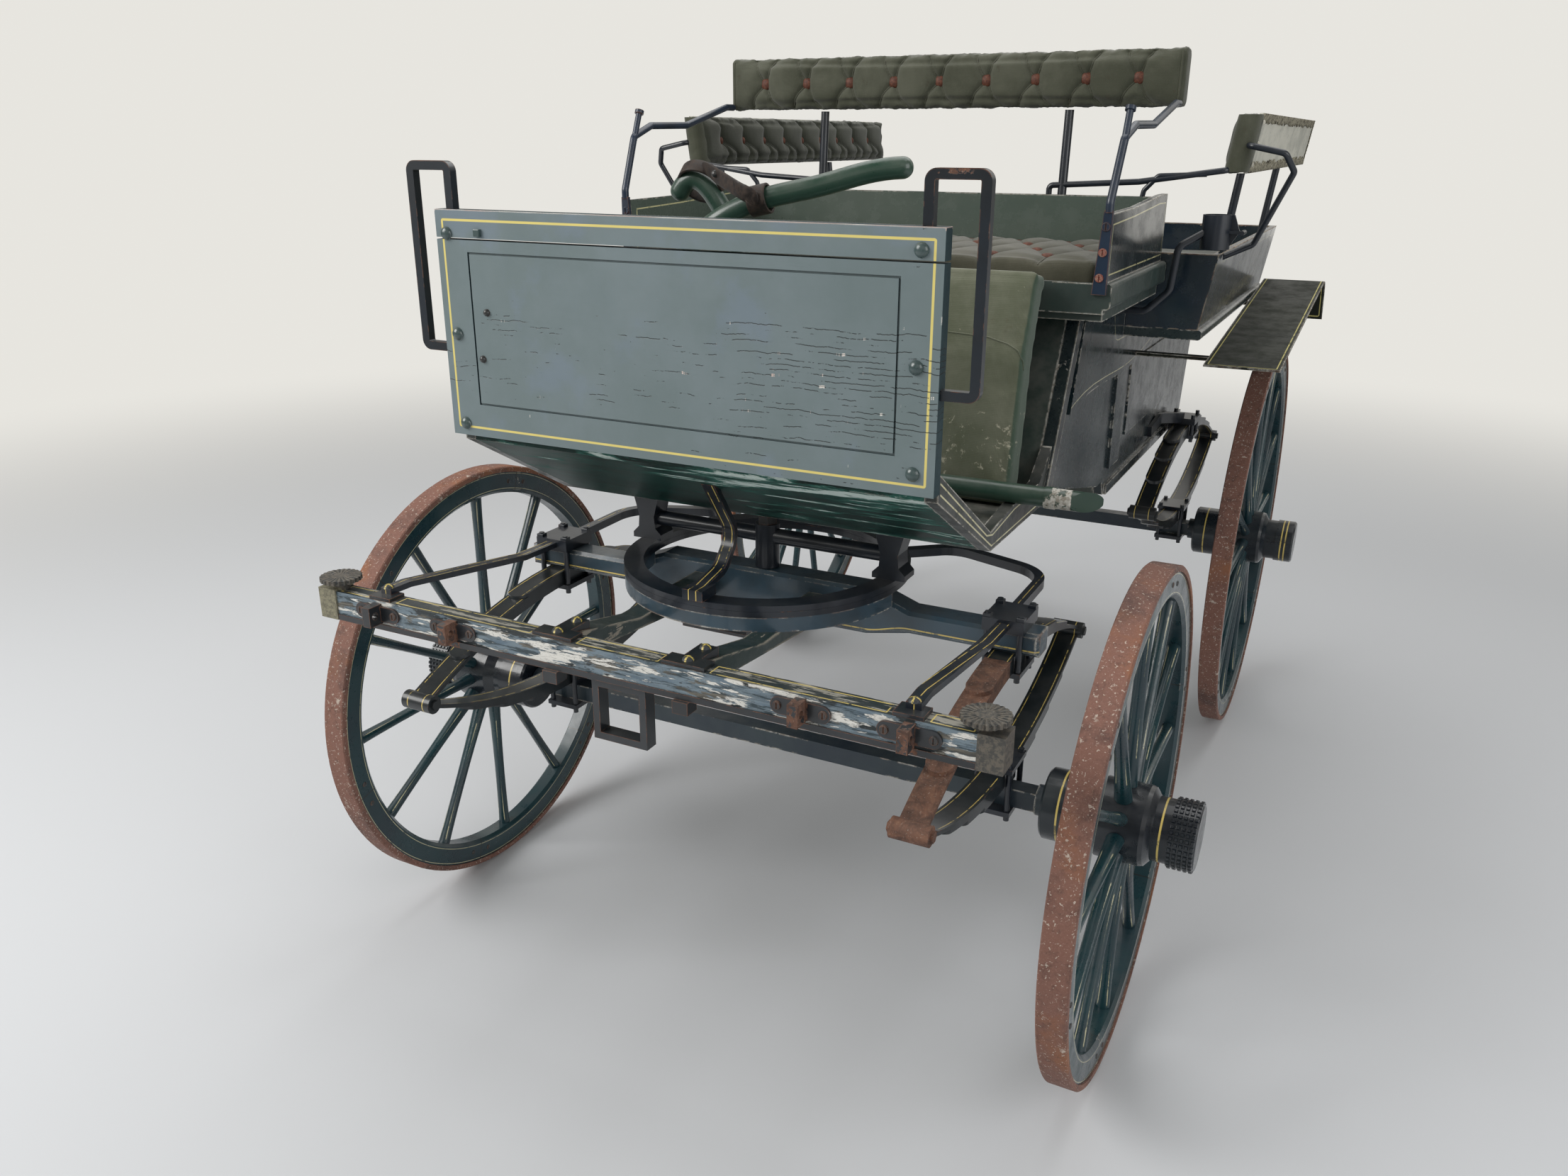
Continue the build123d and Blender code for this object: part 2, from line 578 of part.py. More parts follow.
# Irons on the splinter bar: a strip below, lugs for the shafts, plates over the futchells, loop and socket for the pole
LUG_LOW = SPLINTER_LOW + 2
LUG_BORE_Y = SPLINTER_FRONT_Y - LUG_REACH + 12
LOOP_HALF = 48
LOOP_DEPTH = 24
with BuildPart() as pole_irons:
    add(block((-CAP_INNER, SPLINTER_FRONT_Y - 2, strip_low), (CAP_INNER, SPLINTER_REAR_Y, SPLINTER_LOW)))
    for side in (-1, 1):
        for lug_x in LUG_XS:
            lug_low = (side * lug_x - LUG_WIDTH / 2, SPLINTER_FRONT_Y - LUG_REACH, LUG_LOW)
            add(block(lug_low, (side * lug_x + LUG_WIDTH / 2, SPLINTER_FRONT_Y, LUG_LOW + LUG_HEIGHT)))
            with BuildSketch(Plane.XZ.offset(-SPLINTER_FRONT_Y)):
                with Locations((side * lug_x, LUG_LOW + LUG_HEIGHT / 2)):
                    SlotOverall(2 * LUG_PLATE_HALF, LUG_HEIGHT - 8)
            extrude(amount=LUG_PLATE_THICK)
            with BuildSketch(side_plane(side * lug_x)):
                with Locations((LUG_BORE_Y, LUG_LOW + LUG_HEIGHT / 2)):
                    Circle(LUG_BORE_R)
            extrude(amount=LUG_WIDTH, both=True, mode=Mode.SUBTRACT)
        plate_x = side * FUTCHELL_X
        plate_top = SPLINTER_HIGH + T_PLATE_THICK
        add(block((plate_x - 36, SPLINTER_FRONT_Y + 3, SPLINTER_HIGH), (plate_x + 36, SPLINTER_REAR_Y - 3, plate_top)))
        add(block((plate_x - 15, SPLINTER_REAR_Y - 3, SPLINTER_HIGH - 10), (plate_x + 15, SPLINTER_REAR_Y + 44, plate_top)))
        add(block((plate_x - 13, SPLINTER_FRONT_Y - 8, strip_low - 20), (plate_x + 13, SPLINTER_Y, strip_low)))
        stay_x = side * (FRONT_SPRING_X + 9)
        add(block((stay_x - 22, SPLINTER_FRONT_Y + 1, SPLINTER_HIGH), (stay_x + 22, SPLINTER_REAR_Y - 1, plate_top)))
    add(block((-LOOP_HALF, SPLINTER_Y - LOOP_DEPTH / 2, POLE_LOOP_LOW), (LOOP_HALF, SPLINTER_Y + LOOP_DEPTH / 2, strip_low)))
    add(
        block(
            (POLE_LOOP_WALL - LOOP_HALF, SPLINTER_Y - LOOP_DEPTH, POLE_LOOP_LOW + POLE_LOOP_WALL),
            (LOOP_HALF - POLE_LOOP_WALL, SPLINTER_Y + LOOP_DEPTH, strip_low - 14),
        ),
        mode=Mode.SUBTRACT,
    )
    add(block((FUTCHELL_WIDTH / 2 - FUTCHELL_X, SOCKET_Y, 690), (FUTCHELL_X - FUTCHELL_WIDTH / 2, SOCKET_Y + 24, 738)))
    add(block((-32, SOCKET_Y - 10, 696), (32, SOCKET_Y + 40, 732)), mode=Mode.SUBTRACT)
    add(futchells, mode=Mode.SUBTRACT)
    add(splinter_bar, mode=Mode.SUBTRACT)
save(pole_irons.part, "pole_irons")

# Stays from the splinter bar back to the beam clips, and hoops from the clips round behind the ring
CLIP_CAP_TOP = BEAM_END_HIGH + CLIP_CAP
CLIP_FRONT_Y = FRONT_AXLE_Y - CLIP_REACH - BOLT_R - 3
CLIP_REAR_Y = FRONT_AXLE_Y + CLIP_REACH + BOLT_R + 3
with BuildPart() as table_stays:
    add(strap(
        [
            (FRONT_SPRING_X + 10, SPLINTER_Y, SPLINTER_HIGH + T_PLATE_THICK + 5),
            (FRONT_SPRING_X + 8, SPLINTER_Y + 46, SPLINTER_HIGH + T_PLATE_THICK + 5),
            (FRONT_SPRING_X, CLIP_FRONT_Y - 90, BEAM_END_HIGH + 14),
            (FRONT_SPRING_X, CLIP_FRONT_Y, BEAM_END_HIGH + 12),
        ],
        22, 10, (1, 0, 0), 30,
    ))
    add(strap(
        [
            (FRONT_SPRING_X - 4, CLIP_REAR_Y, BEAM_END_HIGH + 10),
            (FRONT_SPRING_X - 4, CLIP_REAR_Y + 190, BEAM_END_HIGH + 12),
            (FRONT_SPRING_X - 190, CLIP_REAR_Y + 230, LOWER_RING_LOW - 8.8),
            (150, FRONT_AXLE_Y + 180, LOWER_RING_LOW - 8.8),
        ],
        16, 18, (0, 0, 1), 70,
    ))
    add(block((FRONT_SPRING_X - 60, CLIP_FRONT_Y, 700), (FRONT_SPRING_X + 60, CLIP_REAR_Y, 800)), mode=Mode.SUBTRACT)
save_pair(table_stays.part, "turntable_stays")

# Body: toe board, footwell floor and sides, dash

floor_top = FOOT_FLOOR_LOW + BOARD
HEEL_SLOPE = (HEEL_TOP_Y - HEEL_LOW_Y) / (DRIVER_BASE_Z - FOOT_FLOOR_LOW)
heel_floor_y = HEEL_LOW_Y + HEEL_SLOPE * BOARD
save(board(-BODY_HALF + BOARD, BODY_HALF - BOARD, TOE_OUTLINE), "toe_board")
save(
    board(-BODY_HALF + BOARD, BODY_HALF - BOARD, [
        (TOE_LOW_Y, FOOT_FLOOR_LOW), (HEEL_LOW_Y, FOOT_FLOOR_LOW), (heel_floor_y, floor_top),
        (TOE_LOW_Y + 5, floor_top),
    ]),
    "footwell_floor",
)
heel_notch_z = NOTCH_Z + 52
with BuildPart() as footwell_side:
    with BuildSketch(side_plane(BODY_HALF - BOARD)) as side_outline:
        Polygon(
            (DASH_Y + DASH_THICK, 1066), (DASH_Y + DASH_THICK, DASH_LOW - TOE_SLOPE * DASH_THICK),
            (TOE_LOW_Y, FOOT_FLOOR_LOW), (HEEL_LOW_Y, FOOT_FLOOR_LOW),
            (HEEL_LOW_Y + HEEL_SLOPE * (heel_notch_z - FOOT_FLOOR_LOW), heel_notch_z),
            (HEEL_LOW_Y - 20, NOTCH_Z), (FRONT_AXLE_Y + 90, NOTCH_Z), (FRONT_AXLE_Y - 30, NOTCH_FRONT_Z), align=None,
        )
        corners = side_outline.vertices().sort_by(Axis.Z)
        fillet([corner for corner in corners if NOTCH_FRONT_Z - 1 < corner.Z < NOTCH_Z + 1], 30)
    extrude(amount=BOARD)
save_pair(footwell_side.part, "footwell_sides")

dash_rear_y = DASH_Y + DASH_THICK
with BuildPart() as dash_board:
    add(block((-DASH_HALF, DASH_Y, DASH_LOW), (DASH_HALF, dash_rear_y, DASH_SPLIT)))
    with BuildSketch(Plane.XZ.offset(-DASH_Y)):
        with Locations((0, (GROOVE_LOW + GROOVE_HIGH) / 2)):
            Rectangle(2 * GROOVE_HALF, GROOVE_HIGH - GROOVE_LOW)
            Rectangle(2 * (GROOVE_HALF - GROOVE), GROOVE_HIGH - GROOVE_LOW - 2 * GROOVE, mode=Mode.SUBTRACT)
    extrude(amount=-GROOVE, mode=Mode.SUBTRACT)
save(dash_board.part, "dash_board")
save(
    block((-DASH_HALF, DASH_Y, DASH_SPLIT + DASH_SPLIT_GAP), (DASH_HALF, dash_rear_y, DASH_TOP)),
    "dash_top_board",
)
IRON = 14
GRAB_X = 470
GRAB_INNER_X = 395
GRAB_LOW = 1178
GRAB_TOP = 1457
grab_y = DASH_Y + DASH_THICK / 2
grab_iron = strap(
    [
        (DASH_HALF, grab_y, GRAB_LOW), (GRAB_X, grab_y, GRAB_LOW), (GRAB_X, grab_y, GRAB_TOP),
        (GRAB_INNER_X, grab_y, GRAB_TOP), (GRAB_INNER_X, grab_y, DASH_TOP),
    ],
    IRON, IRON, (0, 1, 0), 9,
)
save_pair(grab_iron, "grab_irons")

# Boot under the driver, then the deeper rear body

boot_bend_y = FRONT_AXLE_Y + 390
# Lower edge of the raised upper panel; columns: distance behind the front axle, height
UPPER_PANEL_EDGE = ((392, 1018), (520, 1034), (800, 1030), (980, 1036), (1160, 1060), (1762, 1062))
save(
    board(-BODY_HALF + BOARD, BODY_HALF - BOARD, [
        (heel_floor_y, floor_top), (heel_floor_y + THIN_BOARD, floor_top),
        (HEEL_TOP_Y + THIN_BOARD, DRIVER_BASE_Z), (HEEL_TOP_Y, DRIVER_BASE_Z),
    ]),
    "heel_board",
)
with BuildPart() as body_side:
    with BuildSketch(side_plane(BODY_HALF - BOARD)):
        Polygon(
            (HEEL_LOW_Y, FOOT_FLOOR_LOW), (boot_bend_y, FOOT_FLOOR_LOW), (BOOT_REAR_Y - 60, BOOT_LOW),
            (BOOT_REAR_Y - 10, BOOT_LOW), (BOOT_REAR_Y + 10, SILL_LOW), (REAR_LOW_Y, SILL_LOW),
            (REAR_TOP_Y, BENCH_LOW), (DRIVER_REAR_Y, BENCH_LOW), (DRIVER_REAR_Y, DRIVER_BASE_Z),
            (HEEL_TOP_Y, DRIVER_BASE_Z), align=None,
        )
    extrude(amount=BOARD)
    with BuildSketch(side_plane(BODY_HALF)):
        Polygon(
            (HEEL_LOW_Y, FOOT_FLOOR_LOW), (HEEL_LOW_Y + STRIP_WIDTH, FOOT_FLOOR_LOW),
            (HEEL_TOP_Y + STRIP_WIDTH, DRIVER_BASE_Z), (HEEL_TOP_Y, DRIVER_BASE_Z), align=None,
        )
    extrude(amount=RELIEF)
    with BuildSketch(side_plane(BODY_HALF)):
        with BuildLine():
            curve_low = Spline(*[(FRONT_AXLE_Y + y, z) for y, z in UPPER_PANEL_EDGE])
            Line(curve_low @ 1, (REAR_TOP_Y - 12, BENCH_LOW))
            Line((REAR_TOP_Y - 12, BENCH_LOW), (DRIVER_REAR_Y, BENCH_LOW))
            Line((DRIVER_REAR_Y, BENCH_LOW), (DRIVER_REAR_Y, DRIVER_BASE_Z))
            Line((DRIVER_REAR_Y, DRIVER_BASE_Z), (HEEL_TOP_Y + STRIP_WIDTH + 4, DRIVER_BASE_Z))
            Line((HEEL_TOP_Y + STRIP_WIDTH + 4, DRIVER_BASE_Z), curve_low @ 0)
        make_face()
    extrude(amount=RELIEF + 2)
    add(block((BODY_HALF, PILLAR_Y[0], BOOT_LOW + 22), (BODY_HALF + RELIEF, PILLAR_Y[1], 1045)))
    add(block((BODY_HALF, BOOT_REAR_Y + 14, SILL_LOW), (BODY_HALF + RELIEF, REAR_LOW_Y, SILL_LOW + 22)))
    with BuildSketch(side_plane(BODY_HALF)):
        Polygon(
            (FIELD_Y[0], FIELD_LOW), (FIELD_Y[1], FIELD_LOW), (FIELD_Y[1] + 24, FIELD_HIGH), (FIELD_Y[0], FIELD_HIGH),
            align=None,
        )
    extrude(amount=RELIEF / 2)
save_pair(body_side.part, "body_sides")
save(
    board(-BODY_HALF + BOARD, BODY_HALF - BOARD, [
        (HEEL_LOW_Y, FOOT_FLOOR_LOW), (boot_bend_y, FOOT_FLOOR_LOW), (BOOT_REAR_Y - 60, BOOT_LOW),
        (BOOT_REAR_Y, BOOT_LOW), (BOOT_REAR_Y, BOOT_LOW + BOARD), (BOOT_REAR_Y - 55, BOOT_LOW + BOARD),
        (boot_bend_y + 8, floor_top), (heel_floor_y, floor_top),
    ]),
    "boot_floor",
)
rear_floor_top = SILL_LOW + BOARD
bulkhead_rear_y = BOOT_REAR_Y + BOARD
with BuildPart() as rear_floor:
    add(block((BOARD - BODY_HALF, BOOT_REAR_Y, SILL_LOW), (BODY_HALF - BOARD, REAR_LOW_Y, rear_floor_top)))
    add(block(
        (-BENCH_INNER_X - BOARD, REAR_LOW_Y, SILL_LOW), (BENCH_INNER_X + BOARD, BENCH_REAR_Y, rear_floor_top)
    ))
save(rear_floor.part, "rear_floor")
save(
    block(
        (-BODY_HALF + BOARD, BOOT_REAR_Y, rear_floor_top), (BODY_HALF - BOARD, bulkhead_rear_y, DRIVER_BASE_Z)
    ),
    "bulkhead",
)

# Driver's bench on the boot

RAIL_TOP = 1266
RAIL_FRONT = 14
RAIL_OUT = 12
rail_y = DRIVER_FRONT_Y - RAIL_FRONT
with BuildPart() as driver_frame:
    add(block((3 - DRIVER_HALF, DRIVER_FRONT_Y, DRIVER_BASE_Z), (DRIVER_HALF - 3, DRIVER_REAR_Y, DRIVER_PAN_Z)))
    add(block((-DRIVER_HALF, rail_y, DRIVER_PAN_Z - 8), (DRIVER_HALF, DRIVER_FRONT_Y, RAIL_TOP)))
    for side in (-1, 1):
        with BuildSketch(cross_plane(DRIVER_REAR_Y)):
            with Locations((side * (DRIVER_HALF - 1), (DRIVER_PAN_Z + RAIL_TOP) / 2)):
                RectangleRounded(2 * RAIL_OUT + 2, RAIL_TOP - DRIVER_PAN_Z, 8)
        extrude(amount=DRIVER_REAR_Y - rail_y)
save(driver_frame.part, "driver_frame")
with BuildPart() as driver_boards:
    for side in (-1, 1):
        inner = side * DRIVER_HALF - (12 if side > 0 else 0)
        add(board(inner, inner + 12, [
            (rail_y, RAIL_TOP), (DRIVER_REAR_Y, RAIL_TOP), (DRIVER_REAR_Y, DRIVER_BOARD_REAR_TOP),
            (DRIVER_REAR_Y - 60, DRIVER_BOARD_REAR_TOP), (DRIVER_FRONT_Y + 180, DRIVER_BOARD_FRONT_TOP + 3),
            (rail_y, DRIVER_BOARD_FRONT_TOP),
        ]))
    add(block((-DRIVER_HALF, DRIVER_REAR_Y - 18, RAIL_TOP), (DRIVER_HALF, DRIVER_REAR_Y, DRIVER_SIDE_TOP)))
save(driver_boards.part, "driver_boards")
with BuildPart() as driver_cushion:
    add(block(
        (-DRIVER_CUSHION_HALF, DRIVER_FRONT_Y, DRIVER_PAN_Z),
        (DRIVER_CUSHION_HALF, DRIVER_REAR_Y - 20, DRIVER_CUSHION_TOP),
    ))
    fillet(driver_cushion.faces().sort_by(Axis.Z)[-1].edges(), 18)
save(driver_cushion.part, "driver_cushion")

# Driver's side iron: a flat iron screwed to the board's front edge, then a rod that bends back to the backrest
FLAT_IRON = 8
KNOB_R = 9
arm_end_z = BACKREST_LOW + 9
with BuildPart() as driver_iron:
    with BuildSketch(cross_plane(rail_y)):
        Polygon(
            (FLAT_IRON_LOW_X[0], RAIL_TOP - 18), (FLAT_IRON_LOW_X[1], RAIL_TOP - 18),
            (FLAT_IRON_TOP_X[1], FLAT_IRON_TOP), (FLAT_IRON_TOP_X[0], FLAT_IRON_TOP), align=None,
        )
    extrude(amount=FLAT_IRON)
    iron_y = rail_y - FLAT_IRON / 2
    add(rod(
        [
            (SIDE_IRON_X, iron_y, FLAT_IRON_TOP - 3), (SIDE_IRON_X, iron_y, FLAT_IRON_TOP + 14),
            (SIDE_IRON_X + 4, FRONT_AXLE_Y + 352, 1500), (SIDE_IRON_X + 6, FRONT_AXLE_Y + 418, ARM_Z),
            (SIDE_IRON_X + 8, FRONT_AXLE_Y + 560, ARM_Z + 2), (SIDE_IRON_X + 10, BACKREST_Y - 30, arm_end_z),
            (SIDE_IRON_X + 10, BACKREST_Y, arm_end_z),
        ],
        IRON, 14,
    ))
    add(rod(
        [(SIDE_IRON_X + 4, FRONT_AXLE_Y + 352, 1494), (SIDE_IRON_X + 4, FRONT_AXLE_Y + 374, 1546)], IRON - 2
    ))
    with BuildSketch(Plane(origin=(SIDE_IRON_X + 4, FRONT_AXLE_Y + 373, 1543), z_dir=(0, 22, 52))):
        Circle(KNOB_R)
    extrude(amount=7)
save_pair(driver_iron.part, "driver_irons")
with BuildPart() as backrest:
    add(block(
        (-BACKREST_HALF, BACKREST_Y, BACKREST_LOW), (BACKREST_HALF, BACKREST_Y + BACKREST_THICK, BACKREST_HIGH)
    ))
    fillet(backrest.edges().filter_by(Axis.X), 12)
save(backrest.part, "driver_backrest")

APRON_GAP = 8
APRON_X = BODY_HALF - BOARD - APRON_GAP
save(
    board(-APRON_X, APRON_X, [
        (FRONT_AXLE_Y + 148, floor_top), (FRONT_AXLE_Y + 195, 1150), (FRONT_AXLE_Y + 248, 1292),
        (rail_y - FLAT_IRON, 1278), (FRONT_AXLE_Y + 262, 1150), (FRONT_AXLE_Y + 218, floor_top),
    ]),
    "apron",
)

# Rear benches, one along each side of the passengers' well

with BuildPart() as bench_box:
    add(block((BENCH_INNER_X, bulkhead_rear_y, rear_floor_top), (BENCH_INNER_X + BOARD, BENCH_REAR_Y, BENCH_LOW)))
    add(board(BENCH_INNER_X + BOARD, BODY_HALF - BOARD, [
        (REAR_LOW_Y - 6, rear_floor_top), (REAR_LOW_Y + 6, rear_floor_top),
        (REAR_TOP_Y - 2, BENCH_LOW), (REAR_TOP_Y - 14, BENCH_LOW),
    ]))
save_pair(bench_box.part, "bench_boxes")
bench_pan_top = BENCH_LOW + BOARD
with BuildPart() as bench_pan:
    add(block(
        (BENCH_INNER_X, BENCH_FRONT_Y, BENCH_LOW), (BENCH_OUTER_LOW_X + BENCH_MOULDING, BENCH_REAR_Y, bench_pan_top)
    ))
    outer_edges = bench_pan.faces().sort_by(Axis.X)[-1].edges()
    fillet(outer_edges.filter_by(Axis.Y), BENCH_MOULDING - 1)
save_pair(bench_pan.part, "bench_pans")
with BuildPart() as bench_board:
    with BuildSketch(cross_plane(BENCH_REAR_Y)):
        Polygon(
            (BENCH_OUTER_LOW_X - THIN_BOARD, bench_pan_top), (BENCH_OUTER_LOW_X, bench_pan_top),
            (BENCH_OUTER_TOP_X, BENCH_TOP), (BENCH_OUTER_TOP_X - THIN_BOARD, BENCH_TOP), align=None,
        )
    extrude(amount=BENCH_REAR_Y - BENCH_FRONT_Y)
    with BuildSketch(cross_plane(BENCH_FRONT_Y + THIN_BOARD), cross_plane(BENCH_REAR_Y)):
        Polygon(
            (BENCH_INNER_X, bench_pan_top), (BENCH_OUTER_LOW_X - THIN_BOARD, bench_pan_top),
            (BENCH_OUTER_TOP_X - THIN_BOARD, BENCH_TOP), (BENCH_INNER_X, BENCH_TOP), align=None,
        )
    extrude(amount=THIN_BOARD)
save_pair(bench_board.part, "bench_boards")
with BuildPart() as bench_cushion:
    add(block(
        (BENCH_INNER_X + 8, BENCH_FRONT_Y + THIN_BOARD, bench_pan_top),
        (BENCH_OUTER_LOW_X - THIN_BOARD, BENCH_REAR_Y - THIN_BOARD, bench_pan_top + 80),
    ))
    fillet(bench_cushion.faces().sort_by(Axis.Z)[-1].edges(), 16)
save_pair(bench_cushion.part, "bench_cushions")
rest_low_x = REST_X - REST_LEAN
rest_high_x = REST_X + REST_LEAN
with BuildPart() as side_rest:
    with BuildSketch(cross_plane(REST_REAR_Y)):
        Polygon(
            (rest_low_x - REST_HALF, REST_LOW), (rest_low_x + REST_HALF, REST_LOW),
            (rest_high_x + REST_HALF, REST_HIGH), (rest_high_x - REST_HALF, REST_HIGH), align=None,
        )
    extrude(amount=REST_REAR_Y - REST_FRONT_Y)
    fillet(side_rest.edges().filter_by(Axis.Y), 9)
save_pair(side_rest.part, "side_rests")

# Posts under the rests, the back posts of the driver's bench, and the rails from its back board to the rests
REST_POSTS_Y = (FRONT_AXLE_Y + 905, FRONT_AXLE_Y + 1530)
BACK_POST_X = 275
RAIL_D = 12
rest_foot_z = BENCH_TOP - 20
board_top_y = DRIVER_REAR_Y - 9
with BuildPart() as rest_post:
    for post_y in REST_POSTS_Y:
        add(rod([(BENCH_OUTER_TOP_X - 12, post_y, rest_foot_z), (rest_low_x + 3, post_y, REST_LOW + 20)], 16))
    add(rod(
        [(BACK_POST_X, board_top_y, DRIVER_SIDE_TOP - 20), (BACK_POST_X, BACKREST_Y + 30, BACKREST_LOW + 20)], 18
    ))
    add(rod(
        [
            (248, board_top_y, DRIVER_SIDE_TOP - 10), (248, board_top_y, 1408), (430, board_top_y, 1418),
            (rest_low_x - 12, REST_FRONT_Y - 9, REST_LOW + 8), (rest_low_x - 6, REST_FRONT_Y + 20, REST_LOW + 10),
        ],
        RAIL_D, 9,
    ))
    add(rod(
        [
            (438, board_top_y, DRIVER_SIDE_TOP - 10), (442, board_top_y, 1402), (468, board_top_y, 1430),
            (560, REST_FRONT_Y - 10, 1434),
        ],
        RAIL_D - 2, 9,
    ))
    add(rod(
        [
            (rest_high_x + 8, REST_FRONT_Y + 20, 1488), (rest_high_x + 8, REST_FRONT_Y - 14, 1488),
            (700, REST_FRONT_Y - 14, 1474), (718, REST_FRONT_Y + 8, 1440), (655, REST_FRONT_Y + 60, 1300),
            (BENCH_OUTER_TOP_X - 8, REST_FRONT_Y + 60, 1270),
        ],
        RAIL_D, 12,
    ))
    add(block((500, BENCH_FRONT_Y, BENCH_TOP - 60), (BENCH_OUTER_TOP_X, BENCH_REAR_Y, BENCH_TOP)), mode=Mode.SUBTRACT)
    add(side_rest.part, mode=Mode.SUBTRACT)
    add(
        block((200, DRIVER_REAR_Y - 60, DRIVER_SIDE_TOP - 40), (460, DRIVER_REAR_Y, DRIVER_SIDE_TOP)),
        mode=Mode.SUBTRACT,
    )
    add(block((200, BACKREST_Y - 20, BACKREST_LOW), (300, BACKREST_Y + 80, BACKREST_LOW + 40)), mode=Mode.SUBTRACT)
save_pair(rest_post.part, "rest_posts")

# Mudguards over the rear wheels

with BuildPart() as guard:
    with BuildLine() as guard_line:
        FilletPolyline(
            (GUARD_INNER_X, FRONT_AXLE_Y + 800, 1060), (GUARD_INNER_X, FRONT_AXLE_Y + 1745, 1152),
            (GUARD_INNER_X, FRONT_AXLE_Y + 1830, 1040), radius=70,
        )
    with BuildSketch(Plane(origin=guard_line.line @ 0, x_dir=(1, 0, 0), z_dir=guard_line.line % 0)):
        with Locations((GUARD_WIDTH / 2, 0)):
            Rectangle(GUARD_WIDTH, GUARD_THICK)
    sweep()
    for stay_y, foot_z, guard_z in ((FRONT_AXLE_Y + 960, 1050, 1075), (FRONT_AXLE_Y + 1600, 1098, 1137)):
        add(strap(
            [
                (BODY_HALF, stay_y, foot_z), (BENCH_OUTER_LOW_X + 10, stay_y, foot_z),
                (GUARD_INNER_X + 30, stay_y, guard_z - 6), (GUARD_INNER_X + GUARD_WIDTH - 20, stay_y, guard_z - 6),
            ],
            24, 8, (0, 1, 0), 12,
        ))
    add(body_side.part, mode=Mode.SUBTRACT)
save_pair(guard.part, "mudguards")

# Lamp sockets beside the driver's back board

LAMP_X = 595
LAMP_Y = FRONT_AXLE_Y + 756
LAMP_R = 28
LAMP_BORE_R = 24
LAMP_LOW = 1296
LAMP_HEIGHT = 65
lamp_rod_y = LAMP_Y - 30
with BuildPart() as lamp_socket:
    with BuildSketch(Plane(origin=(LAMP_X, LAMP_Y, LAMP_LOW), z_dir=(0, 0, 1))):
        Circle(LAMP_R)
    extrude(amount=LAMP_HEIGHT)
    add(rod(
        [
            (BODY_HALF + RELIEF + 2, lamp_rod_y, 1172), (480, lamp_rod_y, 1172), (524, lamp_rod_y, 1215),
            (532, lamp_rod_y, 1300), (585, LAMP_Y - 8, 1333),
        ],
        IRON, 22,
    ))
    # Web and thumb screw on the socket's outer side
    with BuildSketch(cross_plane(LAMP_Y + 2)):
        Polygon(
            (LAMP_X + LAMP_R - 3, LAMP_LOW + 2), (LAMP_X + LAMP_R + 16, LAMP_LOW + 34),
            (LAMP_X + LAMP_R + 4, LAMP_LOW + LAMP_HEIGHT), (LAMP_X + LAMP_R - 3, LAMP_LOW + LAMP_HEIGHT), align=None,
        )
    extrude(amount=5)
    thumb_x = LAMP_X + LAMP_R + 23
    add(block((LAMP_X + LAMP_R - 3, LAMP_Y - 11, LAMP_LOW + 30), (thumb_x, LAMP_Y - 5, LAMP_LOW + 36)))
    add(rod([(thumb_x, LAMP_Y - 26, LAMP_LOW + 33), (thumb_x, LAMP_Y + 10, LAMP_LOW + 33)], 9))
    with BuildSketch(Plane(origin=(LAMP_X, LAMP_Y, LAMP_LOW), z_dir=(0, 0, 1))):
        Circle(LAMP_BORE_R)
    extrude(amount=LAMP_HEIGHT, mode=Mode.SUBTRACT)
save_pair(lamp_socket.part, "lamp_sockets")

# Rear springs' hangers, step and door

HANGER_FOOT = 16
hanger_high = REAR_SPRING_TOP + HANGER_FOOT
rear_pack_low = REAR_SPRING_TOP - PACK
with BuildPart() as rear_clips:
    add(axle_clip(REAR_SPRING_X, REAR_AXLE_Y, REAR_WHEEL_R, rear_spring))
    add(spring_clip(
        REAR_SPRING_X, REAR_AXLE_Y, rear_pack_low - 18, hanger_high + 10, rear_pack_low, REAR_SPRING_TOP, HANGER_FOOT
    ))
    add(block(
        (BODY_HALF, REAR_AXLE_Y - 30, REAR_SPRING_TOP), (REAR_SPRING_X, REAR_AXLE_Y + 30, hanger_high)
    ))
    add(strap(
        [
            (BODY_HALF + 5, REAR_AXLE_Y - 260, hanger_high + 4), (BODY_HALF + 9, REAR_AXLE_Y - 160, hanger_high + 20),
            (REAR_SPRING_X, REAR_AXLE_Y - 30, hanger_high),
        ],
        26, 10, (0, 0, 1), 40,
    ))
    add(rear_spring, mode=Mode.SUBTRACT)
    add(body_side.part, mode=Mode.SUBTRACT)
save_pair(rear_clips.part, "rear_spring_clips")

STEP_Y = FRONT_AXLE_Y + 1925
STEP_Z = 450
with BuildPart() as step:
    for side in (-1, 1):
        add(strap(
            [
                (side * 120, BENCH_REAR_Y - 90, SILL_LOW - 5), (side * 120, BENCH_REAR_Y - 20, SILL_LOW - 5),
                (side * 120, STEP_Y - 100, STEP_Z + 5), (side * 120, STEP_Y + 60, STEP_Z + 5),
            ],
            26, 10, (1, 0, 0), 30,
        ))
    add(block((-160, STEP_Y - 60, STEP_Z + 10), (160, STEP_Y + 70, STEP_Z + 16)))
save(step.part, "rear_step")

